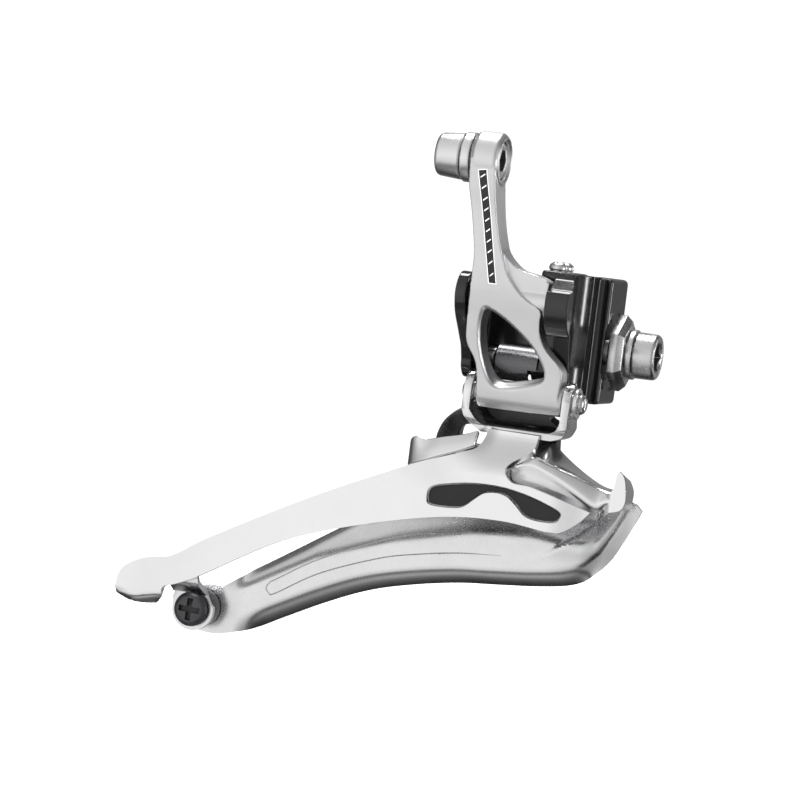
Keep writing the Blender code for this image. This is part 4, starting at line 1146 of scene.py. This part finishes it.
for make, surface in (          # each of these is named after its CAD node
        (outer_cage_plate, "polished_steel"), (inner_cage_plate, "satin_steel"),
        (pivot_bracket, "polished_steel"), (inner_pivot_bracket, "polished_steel"),
        (cage_bridge, "polished_steel"), (rear_bridge, "polished_steel"),
        # window_inlay is a dark sheet of painted shade in the outer plate's window.
        (outer_plate_tail_tab, "satin_steel"), (window_inlay, "black_nylon"),
        (lower_outer_pin, "bolt_steel")):
    place_piece(make(), surface, "cage", make.__name__)
place_piece(ring_washer("pin_washer_detail", "lower_pin_washer", 2.9, PIN_HOLE),
            "zinc_steel", "cage", "lower_pin_washer")
place_piece(plain_pin("lower_inner_pin"), "dark_steel", "cage", "lower_inner_pin")
# The tail spacer gets dark steel as painted shade for the shadow between the tail tab and
# the inner plate.
place_piece(ring_washer("tail_spacer_painted_shade", "tail_spacer", 3.6, SCREW_HOLE, "Y"),
            "dark_steel", "cage", "tail_spacer")
screw = place_piece(tail_screw(), "dark_steel", OWN, "tail_screw")
# The tail screw's cross recess is painted black: painted shade inside the recess.
darken_socket(screw, "Y", -22.85, -21.9, SCREW_PLACE, 2.2)

for node in ("outer_arm_bush_rear", "outer_arm_bush_front"):
    dress(frame["nodes"][node], "black_nylon")


# ---- camera and studio

VIEW_AZIMUTH, VIEW_ELEVATION, VIEW_ROLL = radians(17), radians(3), radians(7)
CAMERA_DISTANCE = 0.7
LENS = 168.5
AIM_FROM_CENTRE = Vector((-0.218, -2.326, -1.385)) * MM


def camera():
    """Long-lens camera at the product shot's angle, tipped so the part leans right."""
    back = Vector((sin(VIEW_AZIMUTH) * cos(VIEW_ELEVATION),
                   -cos(VIEW_AZIMUTH) * cos(VIEW_ELEVATION), sin(VIEW_ELEVATION)))
    level = Vector((cos(VIEW_AZIMUTH), sin(VIEW_AZIMUTH), 0.0))
    up = back.cross(level)
    right = level * cos(VIEW_ROLL) + up * sin(VIEW_ROLL)
    top = up * cos(VIEW_ROLL) - level * sin(VIEW_ROLL)
    data = bpy.data.cameras.new("camera")
    data.lens = LENS
    cam = link(bpy.data.objects.new("camera", data))
    aim = (cad_low + cad_high) / 2 + AIM_FROM_CENTRE
    turn = Matrix((right, top, back)).transposed().to_4x4()
    cam.matrix_world = Matrix.Translation(aim + CAMERA_DISTANCE * back) @ turn
    bpy.context.scene.camera = cam


def softbox(name, direction, distance, width, height, power):
    """A rectangular light that faces the part from a direction."""
    data = bpy.data.lights.new(name, "AREA")
    data.shape = "RECTANGLE"
    data.size = width
    data.size_y = height
    data.energy = power
    lamp = link(bpy.data.objects.new(name, data))
    centre = (cad_low + cad_high) / 2
    lamp.location = centre + Vector(direction).normalized() * distance
    lamp.rotation_euler = (centre - lamp.location).to_track_quat("-Z", "Y").to_euler()
    return lamp


PAPER_GLOW = 1.12       # the backdrop, as every ray but a reflection sees it
FLOOR_SIZE, FLOOR_GAP = 12.0, 0.015     # metres


def studio():
    """White paper all round; reflections see bands of grey instead, as from soft panels."""
    world = bpy.data.worlds.new("studio")
    world.use_nodes = True
    tree = world.node_tree
    wire = tree.links.new
    room = tree.nodes["Background"]
    place = add_node(tree, "TexCoord")
    axes = add_node(tree, "SeparateXYZ")
    wire(place.outputs["Generated"], axes.inputs["Vector"])

    def bands(socket, stops):
        """Brightness that changes along a direction, from stops of (place, value)."""
        shade = add_node(tree, "ValToRGB")
        span = add_node(tree, "MapRange", {"From Min": -1.0})
        wire(socket, span.inputs["Value"])
        wire(span.outputs["Result"], shade.inputs["Fac"])
        ramp_stops = shade.color_ramp.elements
        while len(ramp_stops) < len(stops):
            ramp_stops.new(0.5)
        for stop, (place_on, value) in zip(ramp_stops, stops):
            stop.position = (place_on + 1) / 2
            stop.color = (value, value, value, 1.0)
        return shade.outputs["Color"]

    height = bands(axes.outputs["Z"], (
        (-1, 0.62), (-0.86, 0.15), (-0.74, 0.15), (-0.62, 0.74), (-0.4, 0.8), (-0.15, 0.91),
        (-0.04, 0.93), (0.2, 0.86), (0.5, 0.76), (0.75, 0.66), (1, 0.6)))
    depth = bands(axes.outputs["Y"], (
        (-1, 1), (-0.2, 0.92), (0.1, 0.3), (0.6, 0.12), (1, 0.3)))
    side = bands(axes.outputs["X"], (
        (-1, 0.3), (-0.8, 0.6), (-0.55, 0.95), (-0.3, 1), (-0.15, 0.93), (0.1, 0.72),
        (0.6, 0.45), (0.85, 0.35), (1, 0.6)))

    def multiplied(first, second):
        both = add_node(tree, "Mix", {"Factor": 1.0}, data_type="RGBA",
                        blend_type="MULTIPLY")
        wire(first, both.inputs["A"])
        wire(second, both.inputs["B"])
        return both.outputs["Result"]

    wire(multiplied(multiplied(height, depth), side), room.inputs["Color"])
    room.inputs["Strength"].default_value = 1.0

    paper = add_node(tree, "Background", {"Color": (1.0, 1.0, 1.0, 1.0),
                                          "Strength": PAPER_GLOW})
    seen = add_node(tree, "LightPath")
    choose = add_node(tree, "MixShader")
    wire(seen.outputs["Is Glossy Ray"], choose.inputs["Fac"])
    wire(paper.outputs["Background"], choose.inputs[1])
    wire(room.outputs["Background"], choose.inputs[2])
    wire(choose.outputs["Shader"], tree.nodes["World Output"].inputs["Surface"])
    bpy.context.scene.world = world

    softbox("key", (-0.75, -0.8, 0.55), 0.8, 0.55, 0.4, 5.0).visible_glossy = False
    softbox("edge", (1.0, -0.08, 0.05), 0.7, 0.07, 0.5, 0.9)
    softbox("back_edge", (0.72, 0.7, 0.0), 0.7, 0.05, 0.5, 0.7)
    softbox("top", (-0.1, 0.35, 1.0), 0.8, 0.4, 0.3, 4.5)

    bpy.ops.mesh.primitive_plane_add(size=FLOOR_SIZE)
    floor = bpy.context.object
    floor.name = "floor"
    floor.location = (0.0, 0.0, cad_low.z - FLOOR_GAP)
    floor.data.materials.append(finish("floor_paper", (0.96, 0.96, 0.96), 0.0, 0.8, 0.05,
                                       2.0, bump=0.05, depth=0.02, tint=0.01, level=0.1))
    floor.visible_glossy = False


camera()
studio()
bpy.context.scene.view_settings.view_transform = "Standard"
